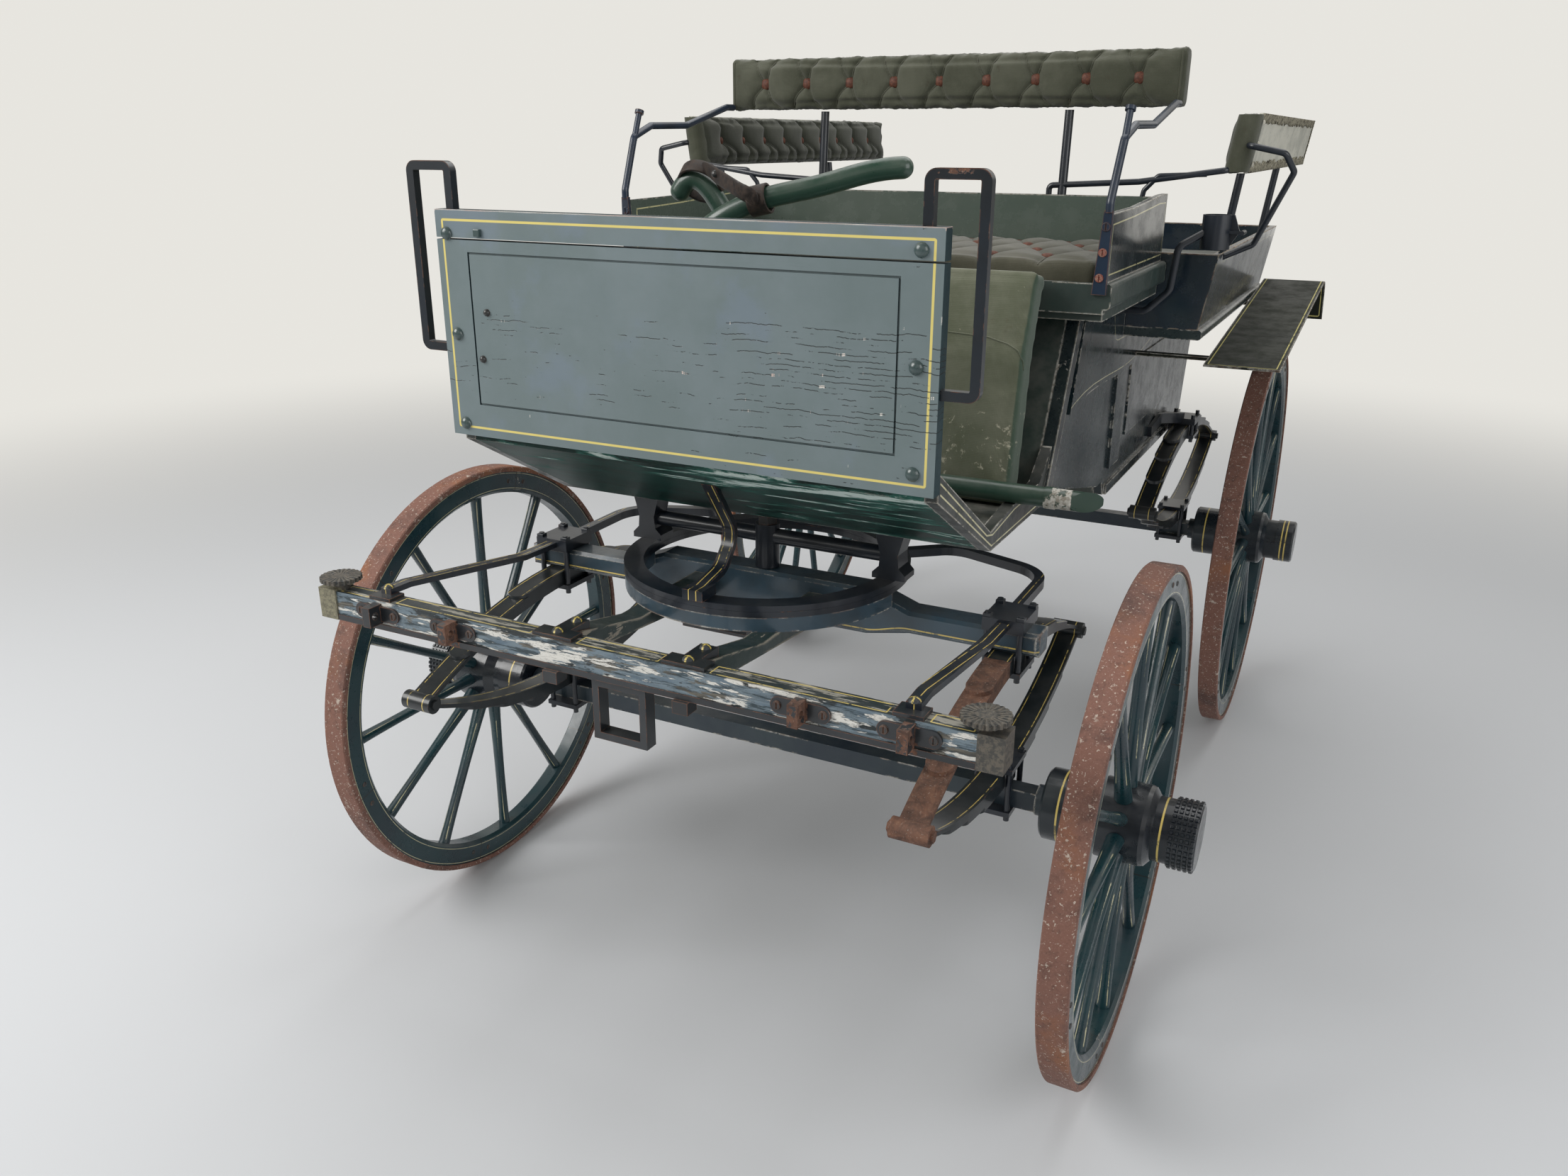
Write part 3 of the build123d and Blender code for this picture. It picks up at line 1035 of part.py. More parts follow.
DOOR_Y = BENCH_REAR_Y + 6
DOOR_HALF = 235
DOOR_THICK = 18
DOOR_LOW = 792
DOOR_HIGH = 1282
HINGE_X = 252
HINGE_Y = DOOR_Y + DOOR_THICK / 2
HINGE_PIN_R = 5
HINGE_ZS = (900, 1180)
with BuildPart() as door:
    add(block((-DOOR_HALF, DOOR_Y, DOOR_LOW), (DOOR_HALF, DOOR_Y + DOOR_THICK, DOOR_HIGH)))
    for hinge_z in HINGE_ZS:
        add(block((DOOR_HALF - 60, DOOR_Y + DOOR_THICK, hinge_z), (HINGE_X, DOOR_Y + DOOR_THICK + 4, hinge_z + 34)))
        with BuildSketch(Plane(origin=(HINGE_X, HINGE_Y, hinge_z), z_dir=(0, 0, 1))):
            Circle(HINGE_PIN_R + 8)
        extrude(amount=34)
        with BuildSketch(Plane(origin=(HINGE_X, HINGE_Y, hinge_z), z_dir=(0, 0, 1))):
            Circle(HINGE_PIN_R + RUNNING_FIT)
        extrude(amount=34, mode=Mode.SUBTRACT)
save(door.part, "rear_door")
with BuildPart() as hinges:
    for hinge_z in HINGE_ZS:
        with BuildSketch(Plane(origin=(HINGE_X, HINGE_Y, hinge_z - 14), z_dir=(0, 0, 1))):
            Circle(HINGE_PIN_R)
        extrude(amount=34 + 20)
        add(block((HINGE_X - 8, BENCH_REAR_Y, hinge_z - 14), (HINGE_X + 8, HINGE_Y + 8, hinge_z - 2)))
save(hinges.part, "door_hinges")

# Pole and shafts carried in the footwell

POLE_R = 17
POLE_Y = FRONT_AXLE_Y + 100
POLE_RIGHT_X = -412
POLE_LEFT_X = 562
FERRULE_X = (470, 488)
SHAFT_D = 32


def bent_shaft(points):
    """A wooden shaft swept along a smooth curve through its points, with a rounded tip."""
    with BuildPart() as shaft:
        with BuildLine() as path:
            Spline(*points)
        with BuildSketch(Plane(origin=path.line @ 0, z_dir=path.line % 0)):
            Circle(SHAFT_D / 2)
        sweep()
        with Locations(path.line @ 1):
            Sphere(SHAFT_D / 2)
    return shaft.part


pole_z = NOTCH_Z + POLE_R
with BuildPart() as poles:
    add(rod([(POLE_RIGHT_X, POLE_Y, pole_z), (POLE_LEFT_X, POLE_Y, pole_z)], 2 * POLE_R))
    add(rod([(FERRULE_X[0], POLE_Y, pole_z), (FERRULE_X[1], POLE_Y, pole_z)], 2 * POLE_R + 3))
    # The pole's end is sawn off at a slant
    with BuildSketch(Plane(origin=(0, 0, pole_z - 2 * POLE_R), z_dir=(0, 0, 1))):
        Polygon(
            (POLE_LEFT_X - 52, POLE_Y - POLE_R - 2), (POLE_LEFT_X + 4, POLE_Y + POLE_R + 2),
            (POLE_LEFT_X + 40, POLE_Y - POLE_R - 2), align=None,
        )
    extrude(amount=4 * POLE_R, mode=Mode.SUBTRACT)
    add(bent_shaft([
        (-200, FRONT_AXLE_Y + 30, 860), (-140, FRONT_AXLE_Y - 60, 1100), (-40, FRONT_AXLE_Y - 158, 1352),
        (60, FRONT_AXLE_Y - 140, 1410), (150, FRONT_AXLE_Y - 115, 1432), (225, FRONT_AXLE_Y - 88, 1453),
        (266, FRONT_AXLE_Y - 78, 1458),
    ]))
    add(bent_shaft([
        (90, FRONT_AXLE_Y, 860), (40, FRONT_AXLE_Y - 26, 1120), (-26, FRONT_AXLE_Y - 58, 1340),
        (-56, FRONT_AXLE_Y - 70, 1408), (-88, FRONT_AXLE_Y - 76, 1436), (-116, FRONT_AXLE_Y - 78, 1418),
    ]))
    add(block((-300, FRONT_AXLE_Y - 200, 800), (300, FRONT_AXLE_Y + 200, floor_top)), mode=Mode.SUBTRACT)
save(poles.part, "stowed_poles")
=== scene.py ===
# %% [markdown]
# A horse drawn carriage, an open break with a driver's bench in front and two facing benches behind.
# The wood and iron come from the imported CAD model, which this script never moves or reshapes.
# Blender adds what CAD leaves plain: old paint, rust, stuffed cloth, bolts, straps and lines.

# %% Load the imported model
import math
import random

import bmesh
import bpy
from mathutils import Matrix, Vector
from mathutils.bvhtree import BVHTree
from mathutils.noise import fractal


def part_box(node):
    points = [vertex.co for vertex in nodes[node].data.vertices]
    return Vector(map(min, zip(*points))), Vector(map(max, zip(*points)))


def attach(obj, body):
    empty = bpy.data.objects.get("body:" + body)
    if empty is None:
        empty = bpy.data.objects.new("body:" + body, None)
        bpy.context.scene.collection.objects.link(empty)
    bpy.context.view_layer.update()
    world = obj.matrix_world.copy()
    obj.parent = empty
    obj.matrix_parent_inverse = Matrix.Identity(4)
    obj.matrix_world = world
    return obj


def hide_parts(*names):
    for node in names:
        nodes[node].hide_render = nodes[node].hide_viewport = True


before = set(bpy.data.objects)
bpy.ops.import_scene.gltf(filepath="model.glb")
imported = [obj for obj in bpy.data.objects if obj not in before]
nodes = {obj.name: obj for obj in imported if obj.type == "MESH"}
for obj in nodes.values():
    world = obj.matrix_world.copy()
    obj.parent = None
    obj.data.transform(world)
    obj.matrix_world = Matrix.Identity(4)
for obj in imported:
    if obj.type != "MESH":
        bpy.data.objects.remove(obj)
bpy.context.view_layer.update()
scene = bpy.context.scene

# %% [markdown]
# The photograph was taken by someone standing in front of the carriage's left corner, looking down.
# A camera can be aimed by hand, but here its three axes were measured from the floor's tiles,
# so they are written straight into its matrix, and the lens is a phone's wide lens.

# %% Camera
CAMERA_PLACE = Vector((0.9627, -2.5527, 1.4976))
CAMERA_RIGHT = Vector((0.88984, 0.45626, 0.00309))
CAMERA_UP = Vector((-0.16192, 0.30944, 0.93703))
CAMERA_BACK = Vector((0.42658, -0.83431, 0.34923))
camera = bpy.data.objects.new("camera", bpy.data.cameras.new("camera"))
scene.collection.objects.link(camera)
camera.data.sensor_width = 36
camera.data.lens = 27.7
turn = Matrix((CAMERA_RIGHT, CAMERA_UP, CAMERA_BACK)).transposed().to_4x4()
camera.matrix_world = Matrix.Translation(CAMERA_PLACE) @ turn
scene.camera = camera
print("camera", [round(v, 3) for v in camera.location], "lens", camera.data.lens)

# %% [markdown]
# Materials are wired from nodes. These few helpers add a node, link or set its inputs, and hand back
# its output, so that a finish reads as a short recipe. A socket knows the tree that it is in, so the
# tree is only named where nothing is linked yet. What several finishes share is a node group.

# %% Helpers for wiring nodes
def feed(node, inputs):
    """Link or set a node's inputs, by name or number."""
    for key, value in inputs.items():
        if isinstance(value, bpy.types.NodeSocket):
            node.id_data.links.new(value, node.inputs[key])
        else:
            node.inputs[key].default_value = value


def wire(kind, inputs=None, out=0, tree=None, **settings):
    """Add a node, set its properties, feed its inputs, and return one of its outputs."""
    values = (inputs or {}).values()
    tree = tree or next(value.id_data for value in values if isinstance(value, bpy.types.NodeSocket))
    made = tree.nodes.new(kind)
    for name, value in settings.items():
        setattr(made, name, value)
    feed(made, inputs or {})
    return made.outputs[out]


def calc(operation, a, b=0.0, c=0.0):
    """One step of arithmetic."""
    return wire("ShaderNodeMath", {0: a, 1: b, 2: c}, operation=operation)


def plus(a, b):
    """A sum."""
    return calc("ADD", a, b)


def minus(a, b):
    """A difference."""
    return calc("SUBTRACT", a, b)


def times(a, b):
    """A product."""
    return calc("MULTIPLY", a, b)


def times_plus(a, b, c):
    """A product with something added to it."""
    return calc("MULTIPLY_ADD", a, b, c)


def absolute(a):
    """A number without its sign."""
    return calc("ABSOLUTE", a)


def apart(a, b):
    """How far two numbers are apart."""
    return absolute(minus(a, b))


def hypotenuse(a, b):
    """The distance of a point from the origin of two numbers."""
    return calc("SQRT", times_plus(a, a, times(b, b)))


def most(*values):
    """The largest of several values, such as the strongest of several masks."""
    found = values[0]
    for value in values[1:]:
        found = calc("MAXIMUM", found, value)
    return found


def blend(amount, under, over):
    """Lay one colour over another by an amount."""
    return wire("ShaderNodeMix", {0: amount, 6: under, 7: over}, out=2, data_type="RGBA")


def between(value, low, high, to_low=0.0, to_high=1.0):
    """A smooth step of a value from low to high."""
    inputs = {"Value": value, "From Min": low, "From Max": high, "To Min": to_low, "To Max": to_high}
    return wire("ShaderNodeMapRange", inputs, interpolation_type="SMOOTHSTEP")


def noise(place, scale, detail=4.0, roughness=0.6, distortion=0.0):
    """Cloudy noise over a place."""
    return wire("ShaderNodeTexNoise", {
        "Vector": place, "Scale": scale, "Detail": detail, "Roughness": roughness, "Distortion": distortion,
    })


def stretch(place, scale, shift=(0, 0, 0)):
    """Scale and shift coordinates."""
    return wire("ShaderNodeMapping", {"Vector": place, "Location": shift, "Scale": scale})


def split(place):
    """The X, Y and Z of a vector."""
    return wire("ShaderNodeSeparateXYZ", {0: place}).node.outputs


def normal_at(place):
    """The X, Y and Z of the surface's normal, in the tree that a place is in."""
    return split(wire("ShaderNodeNewGeometry", out="Normal", tree=place.id_data))


def facing_along(place, axis, low=0.55, high=0.75):
    """A mask of the faces that look along an axis, either way."""
    return between(absolute(normal_at(place)[axis]), low, high)


def rgb(red, green, blue):
    """A colour with its alpha."""
    return (red, green, blue, 1.0)


def new_group(name, sockets_in, sockets_out):
    """An empty node group; inputs are (name, kind, default), outputs are (name, kind)."""
    tree = bpy.data.node_groups.new(name, "ShaderNodeTree")
    for title, kind, default in sockets_in:
        socket = tree.interface.new_socket(title, in_out="INPUT", socket_type="NodeSocket" + kind)
        if default is not None:
            socket.default_value = default
    for title, kind in sockets_out:
        tree.interface.new_socket(title, in_out="OUTPUT", socket_type="NodeSocket" + kind)
    return tree, tree.nodes.new("NodeGroupInput").outputs, tree.nodes.new("NodeGroupOutput")


def use_group(group, inputs):
    """Place a group beside the sockets that feed it, and return its outputs by name."""
    return wire("ShaderNodeGroup", inputs, node_tree=group).node.outputs


# %% [markdown]
# Daylight through large windows is soft and comes from all round, a little more from the front left.
# One broad key lamp, one weaker fill and a pale world give that, and keep colours as they are written.
# A room has bright windows and dark corners, so what reflections see of the world varies.

# %% Lamps and world
def area_lamp(name, place, aim, size, power, colour):
    """A square soft lamp at a place, turned to face a point."""
    lamp = bpy.data.objects.new(name, bpy.data.lights.new(name, "AREA"))
    scene.collection.objects.link(lamp)
    lamp.data.size = size
    lamp.data.energy = power
    lamp.data.color = colour
    lamp.location = place
    lamp.rotation_euler = (Vector(aim) - Vector(place)).to_track_quat("-Z", "Y").to_euler()
    return lamp


area_lamp("window_light", (-3.2, -3.6, 3.6), (0, -0.2, 0.7), 3.0, 190, (1.0, 0.99, 0.97))
area_lamp("fill_light", (4.2, -1.8, 2.6), (0, 0, 0.8), 3.0, 60, (0.97, 0.98, 1.0))
area_lamp("ceiling_light", (0, 1.0, 4.6), (0, 0, 0), 4.0, 90, (1, 1, 1))

PALE_WALL = (0.80, 0.785, 0.74)
world = bpy.data.worlds.new("room")
scene.world = world
world.use_nodes = True
sky = world.node_tree
room_parts = noise(wire("ShaderNodeTexCoord", out="Generated", tree=sky), 1.7, 1.0, 0.5)
seen = wire("ShaderNodeLightPath", tree=sky).node.outputs
room_bright = between(room_parts, 0.44, 0.56, 0.14, 0.90)
for_glossy = wire("ShaderNodeMix", {0: seen["Is Glossy Ray"], 2: 0.50, 3: room_bright})
for_camera = wire("ShaderNodeMix", {0: seen["Is Camera Ray"], 2: for_glossy, 3: 1.0})
feed(sky.nodes["Background"], {"Color": (*PALE_WALL, 1), "Strength": for_camera})
scene.view_settings.view_transform = "Standard"

# %% [markdown]
# Old coach paint flakes off where it is knocked, first along the edges. The bevel node gives a
# normal rounded over each edge; where it differs from the true normal, there is an edge. Noise
# breaks that band up into chips, and a zone input lets a panel lose more paint in one place.

# %% Worn paint
worn_paint, g_in, g_out = new_group(
    "worn_paint",
    (
        ("Vector", "Vector", None), ("Edge Width", "Float", 0.006), ("Edge Wear", "Float", 0.5),
        ("Chips", "Float", 0.1), ("Zone", "Float", 0.0), ("Scale", "Float", 40.0),
    ),
    (("Lost", "Float"), ("Height", "Float")),
)
bevelled = wire("ShaderNodeBevel", {"Radius": g_in["Edge Width"]}, samples=6)
flat_normal = wire("ShaderNodeNewGeometry", out="Normal", tree=worn_paint)
likeness = wire("ShaderNodeVectorMath", {0: bevelled, 1: flat_normal}, out="Value", operation="DOT_PRODUCT")
edge_band = between(likeness, 0.995, 0.86)
coarse = noise(g_in["Vector"], g_in["Scale"], 6, 0.65)
patches = noise(g_in["Vector"], times(g_in["Scale"], 0.16), 3, 0.6)
grit = times_plus(patches, 0.5, times(coarse, 0.5))
push = plus(times_plus(edge_band, g_in["Edge Wear"], g_in["Chips"]), g_in["Zone"])
lost = between(plus(grit, push), 0.80, 0.83)
feed(g_out, {"Lost": lost, "Height": minus(1.0, lost)})

# %% [markdown]
# Rust is several browns at once, in patches of patches, with pale specks of dry dirt. It is
# slightly pitted, so the group gives a colour and a height for the bump.

# %% Rust
rust, g_in, g_out = new_group(
    "rust",
    (("Vector", "Vector", None), ("Scale", "Float", 30.0), ("Pale", "Float", 0.2)),
    (("Color", "Color"), ("Height", "Float")),
)
blotches = noise(g_in["Vector"], g_in["Scale"], 8, 0.7, 0.4)
pits = noise(g_in["Vector"], times(g_in["Scale"], 7.0), 4, 0.7)
browns = wire("ShaderNodeValToRGB", {0: blotches})
stops = browns.node.color_ramp.elements
stops[0].position = 0.30
stops[0].color = rgb(0.045, 0.024, 0.018)
stops[1].position = 0.72
stops[1].color = rgb(0.26, 0.13, 0.075)
for position, colour in ((0.44, rgb(0.10, 0.05, 0.034)), (0.56, rgb(0.17, 0.082, 0.052))):
    stops.new(position).color = colour
specks = between(pits, 0.60, 0.68)
specked = blend(times(specks, g_in["Pale"]), browns, rgb(0.50, 0.43, 0.37))
feed(g_out, {"Color": specked, "Height": times_plus(pits, 0.5, blotches)})

# %% [markdown]
# Dust settles on what faces up and fades on upright sides. The normal's Z gives that at once.

# %% Dust
dust, g_in, g_out = new_group(
    "dust", (("Vector", "Vector", None), ("Amount", "Float", 0.3)), (("Mask", "Float"),)
)
upward = between(normal_at(g_in["Vector"])["Z"], -0.2, 0.95, 0.12, 1.0)
clouds = between(noise(g_in["Vector"], 14, 6, 0.65), 0.34, 0.68)
feed(g_out, {"Mask": times(times(upward, clouds), g_in["Amount"])})

# %% [markdown]
# A coach line is a thin painted stripe at an even distance from a panel's edge. The distance to a
# rectangle with rounded corners is a short sum, and the stripe is where that distance is near nought.

# %% Coach line round a panel
coach_line, g_in, g_out = new_group(
    "coach_line",
    (
        ("U", "Float", 0.0), ("V", "Float", 0.0), ("Half U", "Float", 0.3), ("Half V", "Float", 0.1),
        ("Corner", "Float", 0.002), ("Width", "Float", 0.004),
    ),
    (("Line", "Float"),),
)
gaps = []
for axis in ("U", "V"):
    reach = minus(absolute(g_in[axis]), g_in["Half " + axis])
    gaps.append(plus(reach, g_in["Corner"]))
outside = [most(gap, 0.0) for gap in gaps]
squares = [times(gap, gap) for gap in outside]
beyond = calc("SQRT", plus(*squares))
within = calc("MINIMUM", most(*gaps), 0.0)
distance = minus(plus(beyond, within), g_in["Corner"])
half_width = times(g_in["Width"], 0.5)
line_off = minus(absolute(distance), half_width)
feed(g_out, {"Line": between(line_off, 0.0004, -0.0004)})


def framed(u, v, half_u, half_v, corner, width):
    """The coach line round a rectangle, where u and v are measured from its middle."""
    sizes = {"U": u, "V": v, "Half U": half_u, "Half V": half_v, "Corner": corner, "Width": width}
    return use_group(coach_line, sizes)["Line"]


# %% [markdown]
# Other painted lines follow bent edges. A line is a chain of straight runs, and a small group gives
# the distance to one run. The nearest run of a chain decides, so corners join by themselves.
# A run lies in a plane: one coordinate of the point, and of both its ends, is nought.

# %% Lines along runs
run_distance, g_in, g_out = new_group(
    "run_distance", (("Point", "Vector", None), ("Start", "Vector", None), ("End", "Vector", None)),
    (("Distance", "Float"),),
)


def arrow(operation, a, b=(0, 0, 0), out="Vector"):
    """One step of vector arithmetic."""
    return wire("ShaderNodeVectorMath", {0: a, 1: b}, out=out, operation=operation)


whole_run = arrow("SUBTRACT", g_in["End"], g_in["Start"])
from_start = arrow("SUBTRACT", g_in["Point"], g_in["Start"])
share = calc(
    "DIVIDE", arrow("DOT_PRODUCT", from_start, whole_run, "Value"),
    arrow("DOT_PRODUCT", whole_run, whole_run, "Value"),
)
share = calc("MINIMUM", most(share, 0.0), 1.0)
foot = wire("ShaderNodeVectorMath", {0: whole_run, "Scale": share}, operation="SCALE")
feed(g_out, {"Distance": arrow("LENGTH", arrow("SUBTRACT", from_start, foot), out="Value")})


def painted(point, chain, width=0.0016):
    """A thin line through a chain of points."""
    nearest = None
    for start, end in zip(chain, chain[1:]):
        off = use_group(run_distance, {"Point": point, "Start": start, "End": end})["Distance"]
        nearest = off if nearest is None else calc("MINIMUM", nearest, off)
    return between(nearest, width / 2 + 0.0003, width / 2 - 0.0003)


# %% [markdown]
# Cloth is woven of threads at right angles. Waves along each direction, added up, give the bump of
# the threads, and a slow noise gives the fading and stains of many summers.

# %% Weave
weave, g_in, g_out = new_group(
    "weave",
    (("Vector", "Vector", None), ("Threads", "Float", 700.0)),
    (("Height", "Float"), ("Fade", "Float"), ("Stain", "Float")),
)
threads = []
for axis in ("X", "Y", "Z"):
    along = split(g_in["Vector"])[axis]
    threads.append(calc("SINE", times(along, g_in["Threads"])))
cross = plus(plus(threads[0], threads[1]), threads[2])
fuzz = noise(g_in["Vector"], 420, 3, 0.7)
stain = between(noise(g_in["Vector"], 24, 7, 0.7), 0.60, 0.70)
feed(
    g_out,
    {"Height": times_plus(cross, 0.16, fuzz), "Fade": noise(g_in["Vector"], 9, 6, 0.62, 0.3), "Stain": stain},
)

# %% [markdown]
# A finish is a Principled shader whose colour, roughness and bump come from those groups. This
# function starts one and returns its wiring, and the next one paints a coat with wear on top.

# %% Start a finish, and paint with wear
def new_finish(name, roughness=0.5, specular=0.5, coat=0.0):
    """A material with a bare Principled shader; returns it, its shader and Object coordinates."""
    made = bpy.data.materials.new(name)
    made.use_nodes = True
    shader = made.node_tree.nodes["Principled BSDF"]
    feed(shader, {
        "Roughness": roughness, "Specular IOR Level": specular, "Coat Weight": coat, "Coat Roughness": 0.12,
    })
    return made, shader, wire("ShaderNodeTexCoord", out="Object", tree=made.node_tree)


def bump(shader, height, strength=0.4, depth=0.001):
    """Feed a height to the shader's normal."""
    feed(
        shader,
        {"Normal": wire("ShaderNodeBump", {"Height": height, "Strength": strength, "Distance": depth})},
    )


def old_paint(
    name, paint, shade, bare=rgb(0.62, 0.60, 0.55), gloss=0.28, coat=0.4, chips=0.0, edge=0.3,
    edge_width=0.006, scale=60.0, dusty=0.2, lines=None, line_colour=rgb(0.72, 0.60, 0.27), zone=None,
    rusty=0.0, grain=None, dark=None, second=None, specular=0.5,
):
    """Coach paint that has faded, chipped and gathered dust; lines, zone, grain and dark wire extra masks."""
    made, shader, place = new_finish(name, gloss, specular, coat)
    mottle = noise(place, 7, 5, 0.6)
    colour = blend(between(mottle, 0.35, 0.68), paint, shade)
    if second:
        colour = blend(second[0](place), colour, second[1])
    if lines:
        rubbed = between(noise(place, 55, 5, 0.7), 0.36, 0.46, 0.25, 1.0)
        colour = blend(times(lines(place), rubbed), colour, line_colour)
    zone_mask = zone(place) if zone else 0.0
    worn = use_group(worn_paint, {
        "Vector": place, "Edge Width": edge_width, "Edge Wear": edge, "Chips": chips, "Zone": zone_mask,
        "Scale": scale,
    })
    brown = use_group(rust, {"Vector": place, "Scale": 45.0, "Pale": 0.15})
    under_mix = between(noise(place, 22, 5, 0.6), 0.50, 0.56, 0.0, rusty)
    pale = blend(between(noise(place, 130, 4, 0.7), 0.4, 0.62), bare, rgb(0.30, 0.27, 0.22))
    under = blend(under_mix, pale, brown["Color"])
    colour = blend(worn["Lost"], colour, under)
    if dark:
        colour = blend(dark(place), colour, rgb(0.012, 0.014, 0.014))
    settled = use_group(dust, {"Vector": place, "Amount": dusty})["Mask"]
    colour = blend(settled, colour, rgb(0.36, 0.34, 0.30))
    feed(shader, {"Base Color": colour})
    scuffs = between(noise(place, 19, 7, 0.7), 0.36, 0.72, gloss, gloss + 0.24)
    dull = times_plus(most(worn["Lost"], settled), 0.5, scuffs)
    feed(shader, {"Roughness": calc("MINIMUM", dull, 0.95)})
    shine = times(minus(1.0, worn["Lost"]), coat)
    feed(shader, {"Coat Weight": shine})
    height = worn["Height"]
    if grain:
        height = times_plus(grain(place), 0.8, height)
    height = times_plus(noise(place, 240, 3, 0.6), 0.06, height)
    bump(shader, height, 0.45, 0.0009)
    return made

# %% [markdown]
# Each painted part has its own colour, so each gets its own coat. The naves have bands, the
# felloes and spokes hair-thin cream lines near their edges. Both are turned round an axle line, so
# the distance from that line, and the angle about it, place the lines. Where two felloes meet there is
# a dark joint, and the paint beside it has sprung off.

# %% Wheels: felloes, spokes and naves
CREAM = rgb(0.50, 0.47, 0.30)
YELLOW = rgb(0.66, 0.50, 0.14)
# Each axle's Y, its height, its felloes' outer radius and its spokes
AXLES = {"front": (-0.735, 0.434, 0.423, 12), "rear": (0.765, 0.500, 0.489, 14)}
HALF_TRACKS = {"front": 0.672, "rear": 0.660}
NAVE_BANDS = {"front": (-0.100, 0.065), "rear": (-0.100, 0.093, 0.103)}
LINE_FROM_SPOKE_MIDDLE = 0.0075


def round_axle(place, axle_y, axle_z):
    """Distance from an axle line, and the angle about it."""
    parts = split(place)
    out_y = minus(parts["Y"], axle_y)
    out_z = minus(parts["Z"], axle_z)
    return hypotenuse(out_y, out_z), calc("ARCTAN2", out_z, out_y)


def wheel_lines(axle_y, axle_z, felloe_radius, spokes):
    """Lines on both rims of the felloes and along the edges of each spoke."""
    def mask(place):
        radius, angle = round_axle(place, axle_y, axle_z)
        rims = (felloe_radius - 0.0035, felloe_radius - 0.0345)
        near = most(*[between(apart(radius, rim), 0.0009, 0.0004) for rim in rims])
        swing = calc("PINGPONG", angle, math.pi / spokes)
        across = times(calc("SINE", swing), radius)
        spoke_line = between(apart(across, LINE_FROM_SPOKE_MIDDLE), 0.0007, 0.0003)
        reach = times(
            between(radius, 0.12, 0.125), between(radius, felloe_radius - 0.05, felloe_radius - 0.055)
        )
        return times(most(near, times(spoke_line, reach)), facing_along(place, "X", 0.45, 0.55))
    return mask


def felloe_joints(axle_y, axle_z, felloe_radius, spokes, wide, soft, strength=1.0):
    """A mask at the joints between felloes, half way between spokes, in the rim only."""
    def mask(place):
        radius, angle = round_axle(place, axle_y, axle_z)
        pitch = 2 * math.pi / spokes
        swing = calc("PINGPONG", minus(angle, pitch / 2), pitch)
        along = times(swing, radius)
        joint = between(along, wide + soft, wide, 0.0, strength)
        return times(joint, between(radius, felloe_radius - 0.052, felloe_radius - 0.046))
    return mask


def nave_bands(half_track, distances, width):
    """Bands round a nave, at distances outwards from the wheel's middle."""
    def mask(place):
        outwards = minus(absolute(split(place)["X"]), half_track)
        far, near = width / 2 + 0.0004, width / 2 - 0.0004
        return most(*[between(apart(outwards, distance), far, near) for distance in distances])
    return mask


TEAL = rgb(0.006, 0.036, 0.044)
TEAL_SHADE = rgb(0.005, 0.022, 0.032)
wheel_coat = {}
nave_coat = {}
for end, shape in AXLES.items():
    wheel_coat[end] = old_paint(
        end + "_wheel_coat", TEAL, TEAL_SHADE, gloss=0.24, coat=0.3, chips=0.025, edge=0.10, scale=70,
        dusty=0.04, lines=wheel_lines(*shape), line_colour=CREAM,
        zone=felloe_joints(*shape, 0.004, 0.045, 0.15), dark=felloe_joints(*shape, 0.0008, 0.0006),
    )
    nave_coat[end] = old_paint(
        end + "_nave_coat", rgb(0.005, 0.008, 0.014), rgb(0.004, 0.012, 0.018), gloss=0.24, chips=-0.01,
        edge=0.14, scale=80, dusty=0.06, lines=nave_bands(HALF_TRACKS[end], NAVE_BANDS[end], 0.0032),
        line_colour=YELLOW, rusty=0.6,
    )

# %% [markdown]
# The tyres are bare iron hoops, rusted brown and orange, with pale specks all over and a few pale
# splotches where they were scraped.

# %% Tyres
tyre_finish, shader, place = new_finish("tyre_iron", 0.8, 0.4)
cloudy = noise(place, 9, 8, 0.7, 0.3)
colour = blend(between(cloudy, 0.34, 0.52), rgb(0.094, 0.047, 0.038), rgb(0.205, 0.100, 0.075))
orange = between(noise(stretch(place, (1, 1, 1), (2.3, 0.4, 1.1)), 5, 6, 0.6), 0.52, 0.64)
colour = blend(times(orange, 0.65), colour, rgb(0.29, 0.115, 0.048))
grime = between(noise(place, 60, 7, 0.75), 0.54, 0.66)
colour = blend(times(grime, 0.55), colour, rgb(0.075, 0.040, 0.032))
grain_noise = noise(place, 420, 5, 0.7)
colour = blend(between(grain_noise, 0.48, 0.66, 0.0, 0.4), colour, rgb(0.31, 0.185, 0.145))
specks = between(noise(place, 210, 4, 0.62), 0.605, 0.64)
splotches = between(noise(place, 24, 8, 0.72, 0.3), 0.625, 0.67)
scraped = most(times(specks, 0.8), times(splotches, 0.9))
colour = blend(scraped, colour, rgb(0.56, 0.48, 0.41))
feed(shader, {"Base Color": colour})
feed(shader, {"Roughness": between(cloudy, 0.3, 0.7, 0.62, 0.9)})
bump(shader, times_plus(scraped, 0.8, noise(place, 120, 6, 0.75)), 0.55, 0.0012)

# %% [markdown]
# The irons are black with a blue cast, rubbed bright on their edges, and rust shows in patches.
# Some irons have lost all their paint: a zone chosen by place turns those to rust alone. Thin yellow
# lines run along the leaves of the springs and along the stays.

